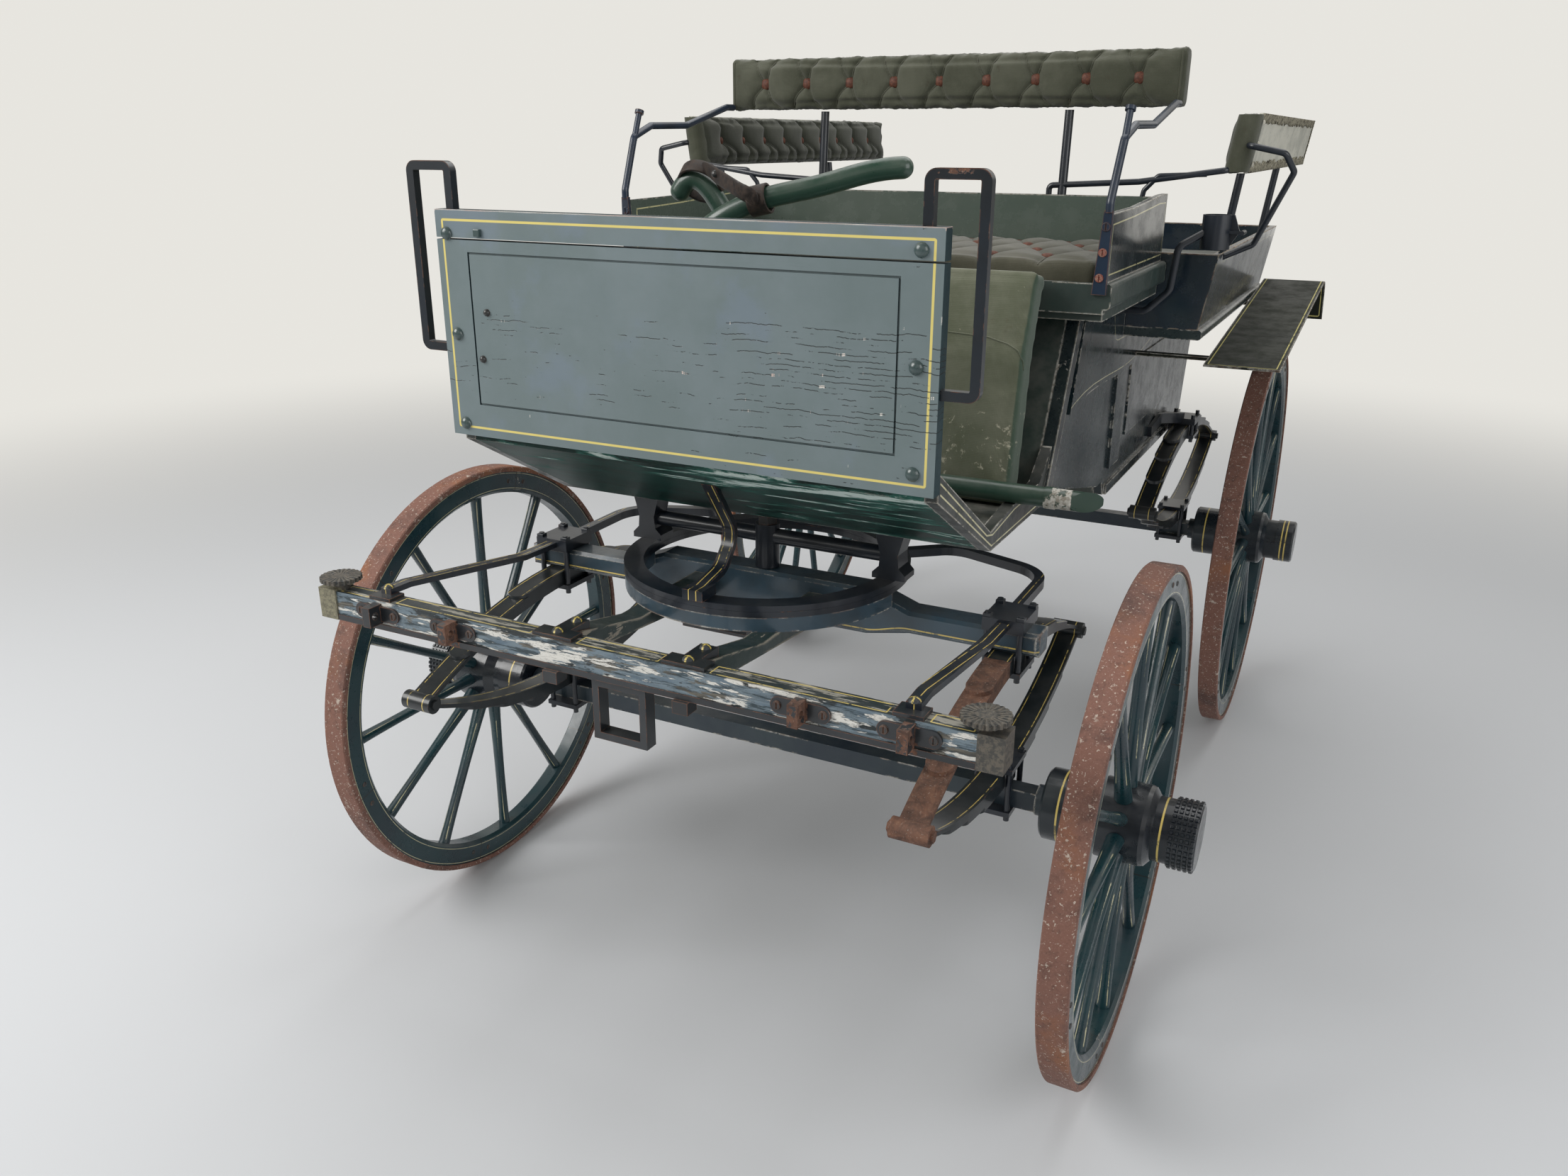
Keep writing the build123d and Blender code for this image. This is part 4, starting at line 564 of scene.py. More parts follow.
# %% Irons
def iron_finish(name, paint, rust_level=0.0, rust_zone=None, edge=0.22, sheen=0.27, lines=None, pale=0.3):
    """Painted iron that rusts where its paint has gone."""
    made, shader, place = new_finish(name, sheen, 0.5, 0.3)
    mottle = noise(place, 11, 5, 0.6)
    colour = blend(between(mottle, 0.35, 0.7), paint, [c * 0.55 for c in paint[:3]] + [1.0])
    if lines:
        rubbed = between(noise(place, 40, 5, 0.7), 0.40, 0.50)
        colour = blend(times(lines(place), rubbed), colour, YELLOW)
    zone = rust_zone(place) if rust_zone else 0.0
    worn = use_group(
        worn_paint,
        {
            "Vector": place, "Edge Width": 0.003, "Edge Wear": edge, "Chips": rust_level, "Zone": zone,
            "Scale": 75.0,
        },
    )
    brown = use_group(rust, {"Vector": place, "Scale": 40.0, "Pale": pale})
    colour = blend(worn["Lost"], colour, brown["Color"])
    settled = use_group(dust, {"Vector": place, "Amount": 0.07})["Mask"]
    colour = blend(settled, colour, rgb(0.30, 0.28, 0.25))
    feed(shader, {"Base Color": colour})
    rough = times_plus(most(worn["Lost"], settled), 0.5, sheen)
    rough = times_plus(mottle, 0.14, rough)
    feed(shader, {"Roughness": calc("MINIMUM", rough, 0.95)})
    feed(shader, {"Coat Weight": times(minus(1.0, worn["Lost"]), 0.3)})
    height = times_plus(times(brown["Height"], worn["Lost"]), 0.5, worn["Height"])
    height = times_plus(noise(place, 150, 3, 0.6), 0.25, height)
    bump(shader, height, 0.45, 0.0009)
    return made


def inside_box(low, high, soft=0.01, strength=1.0):
    """A mask that is full inside a box of Object coordinates."""
    def mask(place):
        found = strength
        for axis, a, b in zip("XYZ", low, high):
            along = split(place)[axis]
            found = times(found, between(along, a - soft, a + soft))
            found = times(found, between(along, b + soft, b - soft))
        return found
    return mask


def lines_beside(middle, reach, width):
    """Two thin lines at a reach each side of a middle in X, on faces that don't look along X."""
    def mask(place):
        off = apart(apart(absolute(split(place)["X"]), middle), reach)
        found = between(off, width / 2 + 0.0003, width / 2 - 0.0002)
        return times(found, minus(1.0, facing_along(place, "X", 0.3, 0.5)))
    return mask


def any_of(*masks):
    """Several masks together."""
    return lambda place: most(*[mask(place) for mask in masks])


BLUE_BLACK = rgb(0.010, 0.015, 0.024)
SPRING_X = {"front": 0.453, "rear": 0.465}
SPRING_LINE_REACH = 0.0165
STAY_X = 0.4565
STAY_LINE_REACH = 0.0070
iron_black = iron_finish("iron_black", BLUE_BLACK)
iron_rusty = iron_finish("iron_rusty", rgb(0.03, 0.03, 0.03), 0.16)
iron_front_springs = iron_finish(
    "iron_front_springs", rgb(0.012, 0.018, 0.022), 0.02,
    inside_box((0.40, -1.25, 0.560), (0.52, -0.79, 0.72), strength=0.45),
    lines=lines_beside(SPRING_X["front"], SPRING_LINE_REACH, 0.0016), pale=0.45,
)
iron_rear_springs = iron_finish(
    "iron_rear_springs", rgb(0.008, 0.011, 0.014), 0.03,
    lines=lines_beside(SPRING_X["rear"], SPRING_LINE_REACH, 0.0014),
)
iron_stays = iron_finish("iron_stays", BLUE_BLACK, lines=lines_beside(STAY_X, STAY_LINE_REACH, 0.0014))
iron_front_stay = iron_finish(
    "iron_front_stay", BLUE_BLACK, 0.02, lines=lines_beside(0.0, STAY_LINE_REACH, 0.0016), edge=0.3
)
iron_blue = iron_finish(
    "iron_blue", rgb(0.014, 0.028, 0.056), 0.03, inside_box((-1, -1, 1.20), (1, 0, 1.35), 0.03, 0.10),
    edge=0.3,
)
iron_grab = iron_finish(
    "iron_grab", rgb(0.010, 0.016, 0.024), 0.0, inside_box((-1, -2, 1.455), (1, 0, 1.50), 0.003, 0.22),
    edge=0.3, pale=0.6,
)
LUG_RUST = ((-0.320, 0.34), (0.295, 0.30), (0.455, 0.26))
rusty_lugs = [inside_box((x, -1.26, 0.70), (x + 0.025, -1.219, 0.80), 0.002, much) for x, much in LUG_RUST]
iron_bar = iron_finish("iron_bar", rgb(0.018, 0.022, 0.027), 0.045, any_of(*rusty_lugs), edge=0.3, pale=0.5)

# %% [markdown]
# The bar's ends have iron caps under scalloped discs with ribs on top. One cap has kept a pale
# brassy coat, so the mask for it is simply the right-hand end of the bar.

# %% Bar ends
cap_finish, shader, place = new_finish("bar_ends", 0.5, 0.5)
feed(shader, {"Metallic": 0.35})
speckle = noise(place, 170, 6, 0.75)
colour = blend(between(speckle, 0.42, 0.60), rgb(0.030, 0.034, 0.036), rgb(0.15, 0.13, 0.105))
brass_end = inside_box((-0.60, -1.25, 0.73), (-0.553, -1.15, 0.793), 0.001)(place)
brassy = blend(between(speckle, 0.40, 0.62), rgb(0.33, 0.31, 0.20), rgb(0.16, 0.15, 0.10))
colour = blend(brass_end, colour, brassy)
disc_x = minus(absolute(split(place)["X"]), 0.562)
disc_y = plus(split(place)["Y"], 1.2)
ribs = calc("SINE", times(calc("ARCTAN2", disc_y, disc_x), 24.0))
ribs = times(ribs, between(hypotenuse(disc_x, disc_y), 0.013, 0.016))
ribs = times(ribs, between(split(place)["Z"], 0.795, 0.80))
rib_shade = between(ribs, -0.6, 0.5, 0.0, 0.5)
colour = blend(rib_shade, colour, rgb(0.19, 0.175, 0.15))
feed(shader, {"Base Color": colour})
feed(shader, {"Roughness": between(speckle, 0.3, 0.7, 0.38, 0.7)})
bump(shader, times_plus(ribs, 0.8, speckle), 0.8, 0.0016)

# %% [markdown]
# Under the splinter bar's blue paint is a white ground, and most of the blue has flaked off its
# front, down to grey wood. The flakes are long, because paint lets go along the grain, so the
# noise that makes them is stretched along the bar. On top, dark paint and yellow frames are left.

# %% Splinter bar and running gear
bar_coat, shader, place = new_finish("bar_coat", 0.5)
flakes = noise(stretch(place, (0.13, 1, 0.8)), 96, 9, 0.62, 0.30)
second = noise(stretch(place, (0.16, 1, 0.9), (3.1, 0.7, 0.4)), 58, 9, 0.62, 0.30)
fine = noise(stretch(place, (0.10, 1, 1)), 210, 5, 0.65)
wood = blend(between(fine, 0.40, 0.62), rgb(0.145, 0.135, 0.110), rgb(0.055, 0.055, 0.050))
blue = blend(between(second, 0.50, 0.66), rgb(0.165, 0.220, 0.260), rgb(0.090, 0.140, 0.190))
blue = blend(between(fine, 0.50, 0.60), blue, rgb(0.028, 0.048, 0.060))
colour = blend(between(second, 0.425, 0.445), wood, blue)
ground = times_plus(fine, 0.16, flakes)
white = between(ground, 0.604, 0.622)
colour = blend(white, colour, rgb(0.72, 0.71, 0.67))
dark_left = between(noise(stretch(place, (0.25, 1, 1), (1.3, 0, 0)), 48, 7, 0.62), 0.565, 0.59)
colour = blend(dark_left, colour, rgb(0.020, 0.028, 0.032))
cracked = between(apart(fine, 0.5), 0.012, 0.004)
colour = blend(times(cracked, 0.6), colour, rgb(0.025, 0.025, 0.022))
on_top = facing_along(place, "Z")
top_worn = between(times_plus(fine, 0.4, times(flakes, 0.6)), 0.52, 0.545)
top_colour = blend(top_worn, rgb(0.022, 0.032, 0.036), rgb(0.30, 0.29, 0.25))
out_x = absolute(split(place)["X"])
off_bar = plus(split(place)["Y"], 1.2)
frames = []
for inner_x, outer_x in ((-0.072, 0.072), (0.160, 0.430), (0.492, 0.551)):
    half = (outer_x - inner_x) / 2
    frames.append(framed(minus(out_x, inner_x + half), off_bar, half, 0.0125, 0.001, 0.0022))
kept = between(noise(place, 60, 5, 0.7), 0.38, 0.46)
top_colour = blend(times(most(*frames), kept), top_colour, rgb(0.66, 0.52, 0.16))
colour = blend(on_top, colour, top_colour)
settled = use_group(dust, {"Vector": place, "Amount": 0.12})["Mask"]
feed(shader, {"Base Color": blend(settled, colour, rgb(0.36, 0.34, 0.30))})
feed(shader, {"Roughness": between(white, 0, 1, 0.42, 0.8)})
steps = times_plus(white, 0.5, minus(1.0, dark_left))
bump(shader, times_plus(fine, 0.6, steps), 0.7, 0.0014)


def beam_lines(place):
    """The yellow line near the beam's lower front edge."""
    parts = split(place)
    out_x = absolute(parts["X"])
    low_edge = between(out_x, 0.205, 0.285, 0.700, 0.715)
    off = apart(parts["Z"], low_edge)
    return times(between(off, 0.0016, 0.0009), facing_along(place, "Y"))


def beam_zone(place):
    """More chips at the beam's ends and along its lower edge."""
    parts = split(place)
    ends = between(absolute(parts["X"]), 0.40, 0.50, 0.0, 0.19)
    low = between(parts["Z"], 0.716, 0.704, 0.0, 0.14)
    return most(ends, low)


def grain_along_y(place):
    """Bare streaks along the futchells."""
    streaks = noise(stretch(place, (1, 0.12, 1)), 70, 7, 0.7)
    return between(streaks, 0.46, 0.58, 0.0, 0.24)


beam_coat = old_paint(
    "beam_coat", rgb(0.034, 0.068, 0.098), rgb(0.018, 0.036, 0.050), coat=0.35, chips=0.02, edge_width=0.007,
    scale=40, dusty=0.10, lines=beam_lines, line_colour=YELLOW, zone=beam_zone, rusty=0.7,
)
gear_coat = old_paint(
    "gear_coat", rgb(0.014, 0.026, 0.040), rgb(0.020, 0.036, 0.046), gloss=0.34, coat=0.2, chips=0.02,
    edge=0.26, edge_width=0.007, scale=45, dusty=0.08, rusty=0.4,
)
futchell_coat = old_paint(
    "futchell_coat", rgb(0.008, 0.024, 0.022), rgb(0.014, 0.030, 0.030), bare=rgb(0.30, 0.27, 0.22),
    gloss=0.30, coat=0.3, chips=0.02, edge=0.28, edge_width=0.008, scale=34, dusty=0.07, zone=grain_along_y,
)

# %% [markdown]
# The dash is a framed board with a yellow line, painted a flat grey-green that has faded unevenly. Its
# paint has cracked along the grain, most of all low down. The cracks are level rows that waver a
# little. A noise cuts each row into pieces, and here and there the white ground shows beside one.

# %% Dash
DASH_MIDDLE_Z = 1.2145


def dash_lines(place):
    """The yellow line round the whole dash."""
    parts = split(place)
    outer = framed(parts["X"], minus(parts["Z"], DASH_MIDDLE_Z), 0.4085, 0.1630, 0.002, 0.0036)
    return times(outer, between(normal_at(place)["Y"], -0.7, -0.9))


dash_coat, shader, place = new_finish("dash_coat", 0.42, 0.45)
parts = split(place)
clouds = noise(place, 5.5, 6, 0.6)
colour = blend(between(clouds, 0.34, 0.66), rgb(0.154, 0.199, 0.206), rgb(0.180, 0.226, 0.241))
bluish = between(noise(stretch(place, (1, 1, 1), (4, 0, 2)), 8, 5, 0.55), 0.53, 0.66)
colour = blend(times(bluish, 0.6), colour, rgb(0.180, 0.229, 0.280))
edges_dark = minus(1.0, facing_along(place, "Y", 0.6, 0.8))
colour = blend(edges_dark, colour, rgb(0.020, 0.044, 0.052))
colour = blend(dash_lines(place), colour, rgb(0.74, 0.62, 0.20))
CRACK_ROW = 0.0078
wobble = times(noise(stretch(place, (1, 1, 0.3)), 13, 5, 0.62), 0.020)
row_height = plus(parts["Z"], wobble)
off_row = calc("PINGPONG", row_height, CRACK_ROW / 2)
row_number = calc("ROUND", calc("DIVIDE", row_height, CRACK_ROW))
row_place = wire("ShaderNodeCombineXYZ", {0: parts["X"], 1: times(row_number, 7.31)})
low_down = plus(between(parts["Z"], 1.28, 1.24, -0.14, 0.0), between(parts["Z"], 1.11, 1.09, 0.0, -0.07))
sideways = between(parts["X"], -0.15, 0.32, -0.02, 0.06)
pieces = plus(noise(row_place, 11, 6, 0.72), plus(low_down, sideways))
open_here = between(pieces, 0.545, 0.575)
cracks = times(between(off_row, 0.00095, 0.00030), open_here)
colour = blend(times(cracks, 0.9), colour, rgb(0.016, 0.022, 0.022))
white_rows = noise(stretch(row_place, (1, 1, 1), (5, 2.7, 0)), 26, 6, 0.75)
white_here = between(plus(white_rows, times_plus(pieces, 0.5, -0.25)), 0.66, 0.68)
wide = between(apart(off_row, 0.0011), 0.0011, 0.0006)
white_bits = times(wide, white_here)
worn = use_group(worn_paint, {
    "Vector": stretch(place, (0.5, 1, 1)), "Edge Width": 0.004, "Edge Wear": 0.24, "Chips": -0.06,
    "Zone": between(parts["Z"], 1.386, 1.392, 0.0, 0.20), "Scale": 46.0,
})
white_bits = most(white_bits, worn["Lost"])
pinkish = blend(between(clouds, 0.45, 0.55), rgb(0.68, 0.66, 0.62), rgb(0.60, 0.47, 0.42))
colour = blend(white_bits, colour, pinkish)
feed(shader, {"Base Color": colour})
feed(shader, {"Roughness": between(noise(place, 16, 6, 0.7), 0.36, 0.70, 0.36, 0.52)})
feed(shader, {"Specular IOR Level": between(edges_dark, 0, 1, 0.40, 0.12)})
relief = times_plus(noise(stretch(place, (0.05, 1, 1)), 240, 4, 0.6), 0.30, 1.0)
relief = minus(minus(relief, cracks), times(white_bits, 0.5))
bump(shader, relief, 0.5, 0.0008)

# %% [markdown]
# The toe board below the dash is dark green. Its paint has turned milky in long smears, and its
# lower edge is knocked ragged.

# %% Toe board
def grain_height(place):
    """Fine ridges along the grain."""
    return noise(stretch(place, (0.05, 1, 1)), 260, 5, 0.65)


toe_coat, shader, place = new_finish("toe_coat", 0.45, 0.25)
parts = split(place)
deep = noise(stretch(place, (0.35, 1, 1)), 14, 6, 0.65)
colour = blend(between(deep, 0.36, 0.62), rgb(0.003, 0.020, 0.016), rgb(0.008, 0.050, 0.040))
milk = noise(stretch(place, (0.16, 1, 1), (1.3, 0, 0)), 34, 9, 0.70, 0.4)
left_more = between(parts["X"], -0.25, 0.12, -0.05, 0.075)
up_more = between(parts["Z"], 0.96, 1.02, -0.05, 0.03)
milk_level = plus(milk, plus(left_more, up_more))
colour = blend(between(milk_level, 0.51, 0.60, 0.0, 0.75), colour, rgb(0.050, 0.200, 0.160))
colour = blend(between(milk_level, 0.590, 0.645), colour, rgb(0.66, 0.78, 0.74))
worn = use_group(worn_paint, {
    "Vector": stretch(place, (0.4, 1, 1)), "Edge Width": 0.007, "Edge Wear": 0.3, "Chips": 0.0,
    "Zone": between(parts["Z"], 0.91, 0.89, 0.0, 0.07), "Scale": 60.0,
})
dark_chip = blend(between(deep, 0.44, 0.5), rgb(0.014, 0.014, 0.013), rgb(0.55, 0.54, 0.50))
colour = blend(worn["Lost"], colour, dark_chip)
feed(shader, {"Base Color": colour})
feed(shader, {"Roughness": between(milk_level, 0.50, 0.60, 0.40, 0.60)})
bump(shader, times_plus(grain_height(place), 0.6, worn["Height"]), 0.5, 0.0012)

# %% [markdown]
# The body is nearly black with green in it, under many coats of varnish. A cream line follows the
# curved lower edge of its raised panel. The CAD's own mesh knows that curve, so the line's points are
# found there. The front edges, where feet and bags knock, are chipped to white.

# %% Body
edge_points = {}
for vertex in nodes["body_sides"].data.vertices:
    co = vertex.co
    if co.x > 0.4275 and co.z < 1.085:
        key = round(co.y / 0.075)
        if key not in edge_points or co.z < edge_points[key].z:
            edge_points[key] = co.copy()
panel_edge = [edge_points[key] for key in sorted(edge_points)]
panel_line = [(0, co.y, co.z + 0.011) for co in panel_edge]
print("points along the panel's edge", len(panel_line), [round(v, 3) for v in panel_line[0]])


def body_lines(place):
    """The cream line above the raised panel's curved edge, and the one round its rear part."""
    flat = stretch(place, (0, 1, 1))
    curved = painted(flat, panel_line, 0.0020)
    corner = [(0, -0.052, 1.19), (0, -0.020, 1.125), (0, -0.008, 1.112), (0, 0.012, 1.1075), (0, 0.9, 1.096)]
    return times(most(curved, painted(flat, corner, 0.0018)), facing_along(place, "X"))


def body_zone(place):
    """More chips along the body's front strip and sill."""
    parts = split(place)
    lean = times_plus(parts["Z"], -0.486, parts["Y"])
    front_edge = between(lean, -0.876, -0.892, 0.0, 0.20)
    sill = between(parts["Z"], 0.80, 0.775, 0.0, 0.10)
    return most(front_edge, sill)


BODY_GREEN = rgb(0.004, 0.011, 0.016)
body_coat = old_paint(
    "body_coat", BODY_GREEN, rgb(0.006, 0.018, 0.022), gloss=0.16, coat=0.5, chips=0.01, scale=48,
    dusty=0.10, zone=body_zone, lines=body_lines, line_colour=CREAM,
)
well_coat = old_paint(
    "well_coat", rgb(0.010, 0.022, 0.026), rgb(0.014, 0.034, 0.034), gloss=0.2, coat=0.5, scale=48
)
board_coat = old_paint(
    "board_coat", rgb(0.030, 0.050, 0.044), rgb(0.022, 0.038, 0.034), gloss=0.34, coat=0.25, edge=0.34,
    scale=55, dusty=0.3,
)
floor_coat = old_paint(
    "floor_coat", rgb(0.07, 0.085, 0.075), rgb(0.045, 0.058, 0.052), gloss=0.6, coat=0.0, chips=0.06,
    edge=0.2, scale=40, dusty=0.6,
)

# %% [markdown]
# The side boards of the driver's bench are black and glossy outside with a cream line all round, and
# grey-green inside. The footwell's V-shaped sides carry two lines that meet at their ends.

# %% Side boards and footwell
SIDE_LINE = [
    (0, -0.402, 1.362), (0, -0.404, 1.279), (0, 0.050, 1.279), (0, 0.050, 1.379), (0, -0.010, 1.380),
    (0, -0.230, 1.368), (0, -0.402, 1.362),
]
V_LINE_HIGH = [
    (0, -1.016, 1.0500), (0, -0.786, 0.9085), (0, -0.755, 0.9015), (0, -0.640, 0.9140), (0, -0.505, 0.9150),
]
V_LINE_LOW = [(0, -1.014, 1.0330), (0, -0.758, 0.8835), (0, -0.488, 0.8835)]


def side_board_line(place):
    """The cream line round the outside of each side board."""
    return times(painted(stretch(place, (0, 1, 1)), SIDE_LINE, 0.0026), facing_along(place, "X"))


def side_board_zone(place):
    """A ragged pale band along the top of the side boards."""
    parts = split(place)
    outside = between(absolute(parts["X"]), 0.480, 0.486)
    top = between(parts["Z"], 1.366, 1.384, 0.0, 0.20)
    foot = between(parts["Z"], 1.276, 1.270, 0.0, 0.16)
    return times(outside, most(top, foot))


def v_lines(place):
    """Two lines that follow the top and the bottom of the V."""
    flat = stretch(place, (0, 1, 1))
    both = most(painted(flat, V_LINE_HIGH, 0.0026), painted(flat, V_LINE_LOW, 0.0026))
    return times(both, facing_along(place, "X"))


def inner_faces(place):
    """Faces that look into the bench, and the board behind the driver."""
    normal = normal_at(place)
    inwards = times(calc("SIGN", split(place)["X"]), normal["X"])
    return most(between(inwards, -0.5, -0.7), between(normal["Y"], -0.5, -0.7))


side_coat = old_paint(
    "side_coat", rgb(0.008, 0.014, 0.018), rgb(0.012, 0.022, 0.024), gloss=0.14, coat=0.7, edge=0.34,
    second=(inner_faces, rgb(0.080, 0.105, 0.087)), scale=55, dusty=0.15, lines=side_board_line,
    line_colour=rgb(0.62, 0.58, 0.32), zone=side_board_zone,
)
foot_coat = old_paint(
    "foot_coat", rgb(0.022, 0.028, 0.025), rgb(0.012, 0.017, 0.016), gloss=0.3, coat=0.2, chips=0.02,
    edge=0.34, scale=50, lines=v_lines, line_colour=rgb(0.62, 0.58, 0.36),
)


def bench_lines(place):
    """A thin line near the top of each bench's outer board."""
    off = apart(split(place)["Z"], 1.262)
    return times(between(off, 0.0012, 0.0006), facing_along(place, "X"))


def bench_zone(place):
    """Orange-brown chips at the outer lower corner of each bench's front board, and a worn top edge."""
    parts = split(place)
    front = between(parts["Y"], 0.09, 0.075)
    outer = between(absolute(parts["X"]), 0.545, 0.58, 0.0, 0.17)
    low = between(parts["Z"], 1.24, 1.16)
    top = between(parts["Z"], 1.270, 1.279, 0.0, 0.22)
    return most(times(front, times(outer, low)), top)


bench_coat = old_paint(
    "bench_coat", rgb(0.010, 0.020, 0.034), rgb(0.008, 0.018, 0.024), bare=rgb(0.42, 0.33, 0.24), gloss=0.14,
    coat=0.7, dusty=0.12, lines=bench_lines, line_colour=CREAM, zone=bench_zone, rusty=0.8,
)

# %% [markdown]
# The mudguards are olive with a yellow line near their edges, scratched and chipped. The pole is
# green, and worn pale round its ferrule.

# %% Mudguards and poles
def guard_lines(place):
    """The line round each mudguard, seen from above or below."""
    parts = split(place)
    return framed(minus(absolute(parts["X"]), 0.670), minus(parts["Y"], 0.58), 0.067, 0.507, 0.004, 0.0024)


guard_coat = old_paint(
    "guard_coat", rgb(0.012, 0.016, 0.009), rgb(0.008, 0.012, 0.008), gloss=0.42, coat=0.0, specular=0.2,
    chips=0.02, edge=0.42, scale=40, dusty=0.04, lines=guard_lines, line_colour=rgb(0.60, 0.54, 0.20),
    rusty=0.5,
)
pole_coat = old_paint(
    "pole_coat", rgb(0.018, 0.052, 0.034), rgb(0.026, 0.062, 0.042), gloss=0.26, chips=0.01, edge=0.0,
    scale=50, dusty=0.12, zone=inside_box((0.468, -1, 0.9), (0.517, 0, 1.0), 0.003, 0.30),
)

# %% [markdown]
# The cushions are stuffed and covered in olive cloth, faded in places, its buttons in brown leather.
# The apron is worn through to a pale canvas low down on its left.

# %% Cloth, buttons and leather
def cloth_finish(name, colour, faded, stained, worn_through=None, sides=None):
    """Woven cloth with fading and stains; its sides may take another colour, which can carry painted shade.
    """
    made, shader, place = new_finish(name, 0.92, 0.2)
    feed(shader, {"Sheen Weight": 0.25, "Sheen Roughness": 0.5})
    woven = use_group(weave, {"Vector": place, "Threads": 2200.0})
    mixed = blend(between(woven["Fade"], 0.36, 0.66), colour, faded)
    mixed = blend(times(woven["Stain"], 0.45), mixed, stained)
    fine = noise(place, 260, 4, 0.7)
    mixed = blend(between(fine, 0.56, 0.68, 0.0, 0.35), mixed, faded)
    # The sides' colour goes on faces that look along X; for the apron it is greener unfaded cloth, darkened
    # as painted shade.
    if sides:
        mixed = blend(facing_along(place, "X", 0.45, 0.8), mixed, sides)
    if worn_through:
        rubbed = plus(noise(place, 52, 8, 0.72, 0.3), worn_through(place))
        mixed = blend(between(rubbed, 0.66, 0.74, 0.0, 0.85), mixed, rgb(0.52, 0.49, 0.38))
    settled = use_group(dust, {"Vector": place, "Amount": 0.08})["Mask"]
    mixed = blend(settled, mixed, rgb(0.30, 0.29, 0.24))
    feed(shader, {"Base Color": mixed})
    bump(shader, woven["Height"], 0.5, 0.0006)
    return made


# Each cloth's colour, its faded colour and its stains
CLOTHS = {
    "olive_cloth": (rgb(0.058, 0.062, 0.042), rgb(0.092, 0.096, 0.070), rgb(0.052, 0.040, 0.026)),
    "cushion_cloth": (rgb(0.054, 0.053, 0.036), rgb(0.082, 0.079, 0.056), rgb(0.044, 0.034, 0.022)),
    "bench_cloth": (rgb(0.040, 0.044, 0.032), rgb(0.058, 0.062, 0.046), rgb(0.026, 0.026, 0.018)),
    # This fold cloth is the olive cloth made lighter: a painted highlight on the raised folds and seams.
    "olive_fold_highlight": (rgb(0.066, 0.070, 0.048), rgb(0.100, 0.102, 0.076), rgb(0.050, 0.044, 0.030)),
    # This fold cloth is the bench cloth made darker: painted shade along the creases.
    "bench_fold_shade": (rgb(0.036, 0.040, 0.030), rgb(0.050, 0.054, 0.042), rgb(0.024, 0.024, 0.018)),
}
cloths = {name: cloth_finish(name, *colours) for name, colours in CLOTHS.items()}
# The apron's sides are greener cloth that has kept its dye, and darker as painted shade.
apron_cloth = cloth_finish(
    "apron_cloth", rgb(0.112, 0.123, 0.080), rgb(0.164, 0.170, 0.123), rgb(0.098, 0.091, 0.053),
    worn_through=inside_box((0.22, -1, 0.90), (0.42, 0, 1.08), 0.06, 0.09), sides=rgb(0.048, 0.079, 0.054),
)
nail_finish, shader, place = new_finish("pale_nails", 0.4)
feed(shader, {"Base Color": rgb(0.52, 0.50, 0.42)})


def mottled(name, roughness, specular, cloud, step, dark, pale, strength, depth):
    """Two colours mixed by one noise, which is the bump too; returns the finish, its shader and the noise."""
    made, shader, place = new_finish(name, roughness, specular)
    grains = noise(place, *cloud)
    feed(shader, {"Base Color": blend(between(grains, *step), dark, pale)})
    bump(shader, grains, strength, depth)
    return made, shader, grains


button_finish = mottled(
    "button_leather", 0.6, 0.4, (160, 5, 0.7), (0.4, 0.65), rgb(0.075, 0.024, 0.014),
    rgb(0.150, 0.052, 0.028), 0.4, 0.0006,
)[0]
leather_finish, shader, creases = mottled(
    "strap_leather", 0.5, 0.45, (90, 6, 0.7, 0.6), (0.36, 0.66), rgb(0.016, 0.011, 0.009),
    rgb(0.050, 0.032, 0.023), 0.6, 0.0008,
)
feed(shader, {"Roughness": between(creases, 0.3, 0.7, 0.38, 0.72)})

# %% [markdown]
# Now each CAD node takes its finish. A node's material slots are set to the one finish.

# %% Finish the CAD nodes
def finish_node(name, finish):
    """Give every slot of a CAD node one finish."""
    slots = nodes[name].data.materials
    if len(slots) == 0:
        slots.append(finish)
    for index in range(len(slots)):
        slots[index] = finish


SIDES = (("left", 1), ("right", -1))
for end in ("front", "rear"):
    for side, sign in SIDES:
        finish_node(f"{end}_{side}_tyre", tyre_finish)
        finish_node(f"{end}_{side}_felloes", wheel_coat[end])
        finish_node(f"{end}_{side}_nave", nave_coat[end])
FINISHES = (
    (iron_front_springs, ("front_springs",)),
    (iron_rear_springs, ("rear_springs",)),
    (iron_stays, ("turntable_stays",)),
    (iron_front_stay, ("front_stay",)),
    (iron_black, (
        "front_spring_clips", "rear_spring_clips", "turntable_ring_lower", "turntable_ring_upper",
        "turntable_cross_bar", "lamp_sockets", "rest_posts", "rear_step", "door_hinges",
    )),
    (iron_rusty, ("kingpin",)),
    (iron_bar, ("pole_irons",)),
    (cap_finish, ("roller_bolts",)),
    (iron_blue, ("driver_irons",)),
    (iron_grab, ("grab_irons",)),
    (bar_coat, ("splinter_bar",)),
    (beam_coat, ("turntable_beam", "turntable_crescent")),
    (gear_coat, ("front_axle", "rear_axle")),
    (futchell_coat, ("futchells",)),
    (dash_coat, ("dash_board", "dash_top_board")),
    (toe_coat, ("toe_board",)),
    (body_coat, ("body_sides",)),
    (well_coat, ("boot_floor", "bulkhead", "bench_boxes", "bench_pans", "rear_door")),
    (foot_coat, ("footwell_sides",)),
    (side_coat, ("driver_boards",)),
    (bench_coat, ("bench_boards",)),
    (board_coat, ("driver_frame", "heel_board")),
    (floor_coat, ("rear_floor", "footwell_floor")),
    (guard_coat, ("mudguards",)),
    (pole_coat, ("stowed_poles",)),
)
for finish, names in FINISHES:
    for name in names:
        finish_node(name, finish)

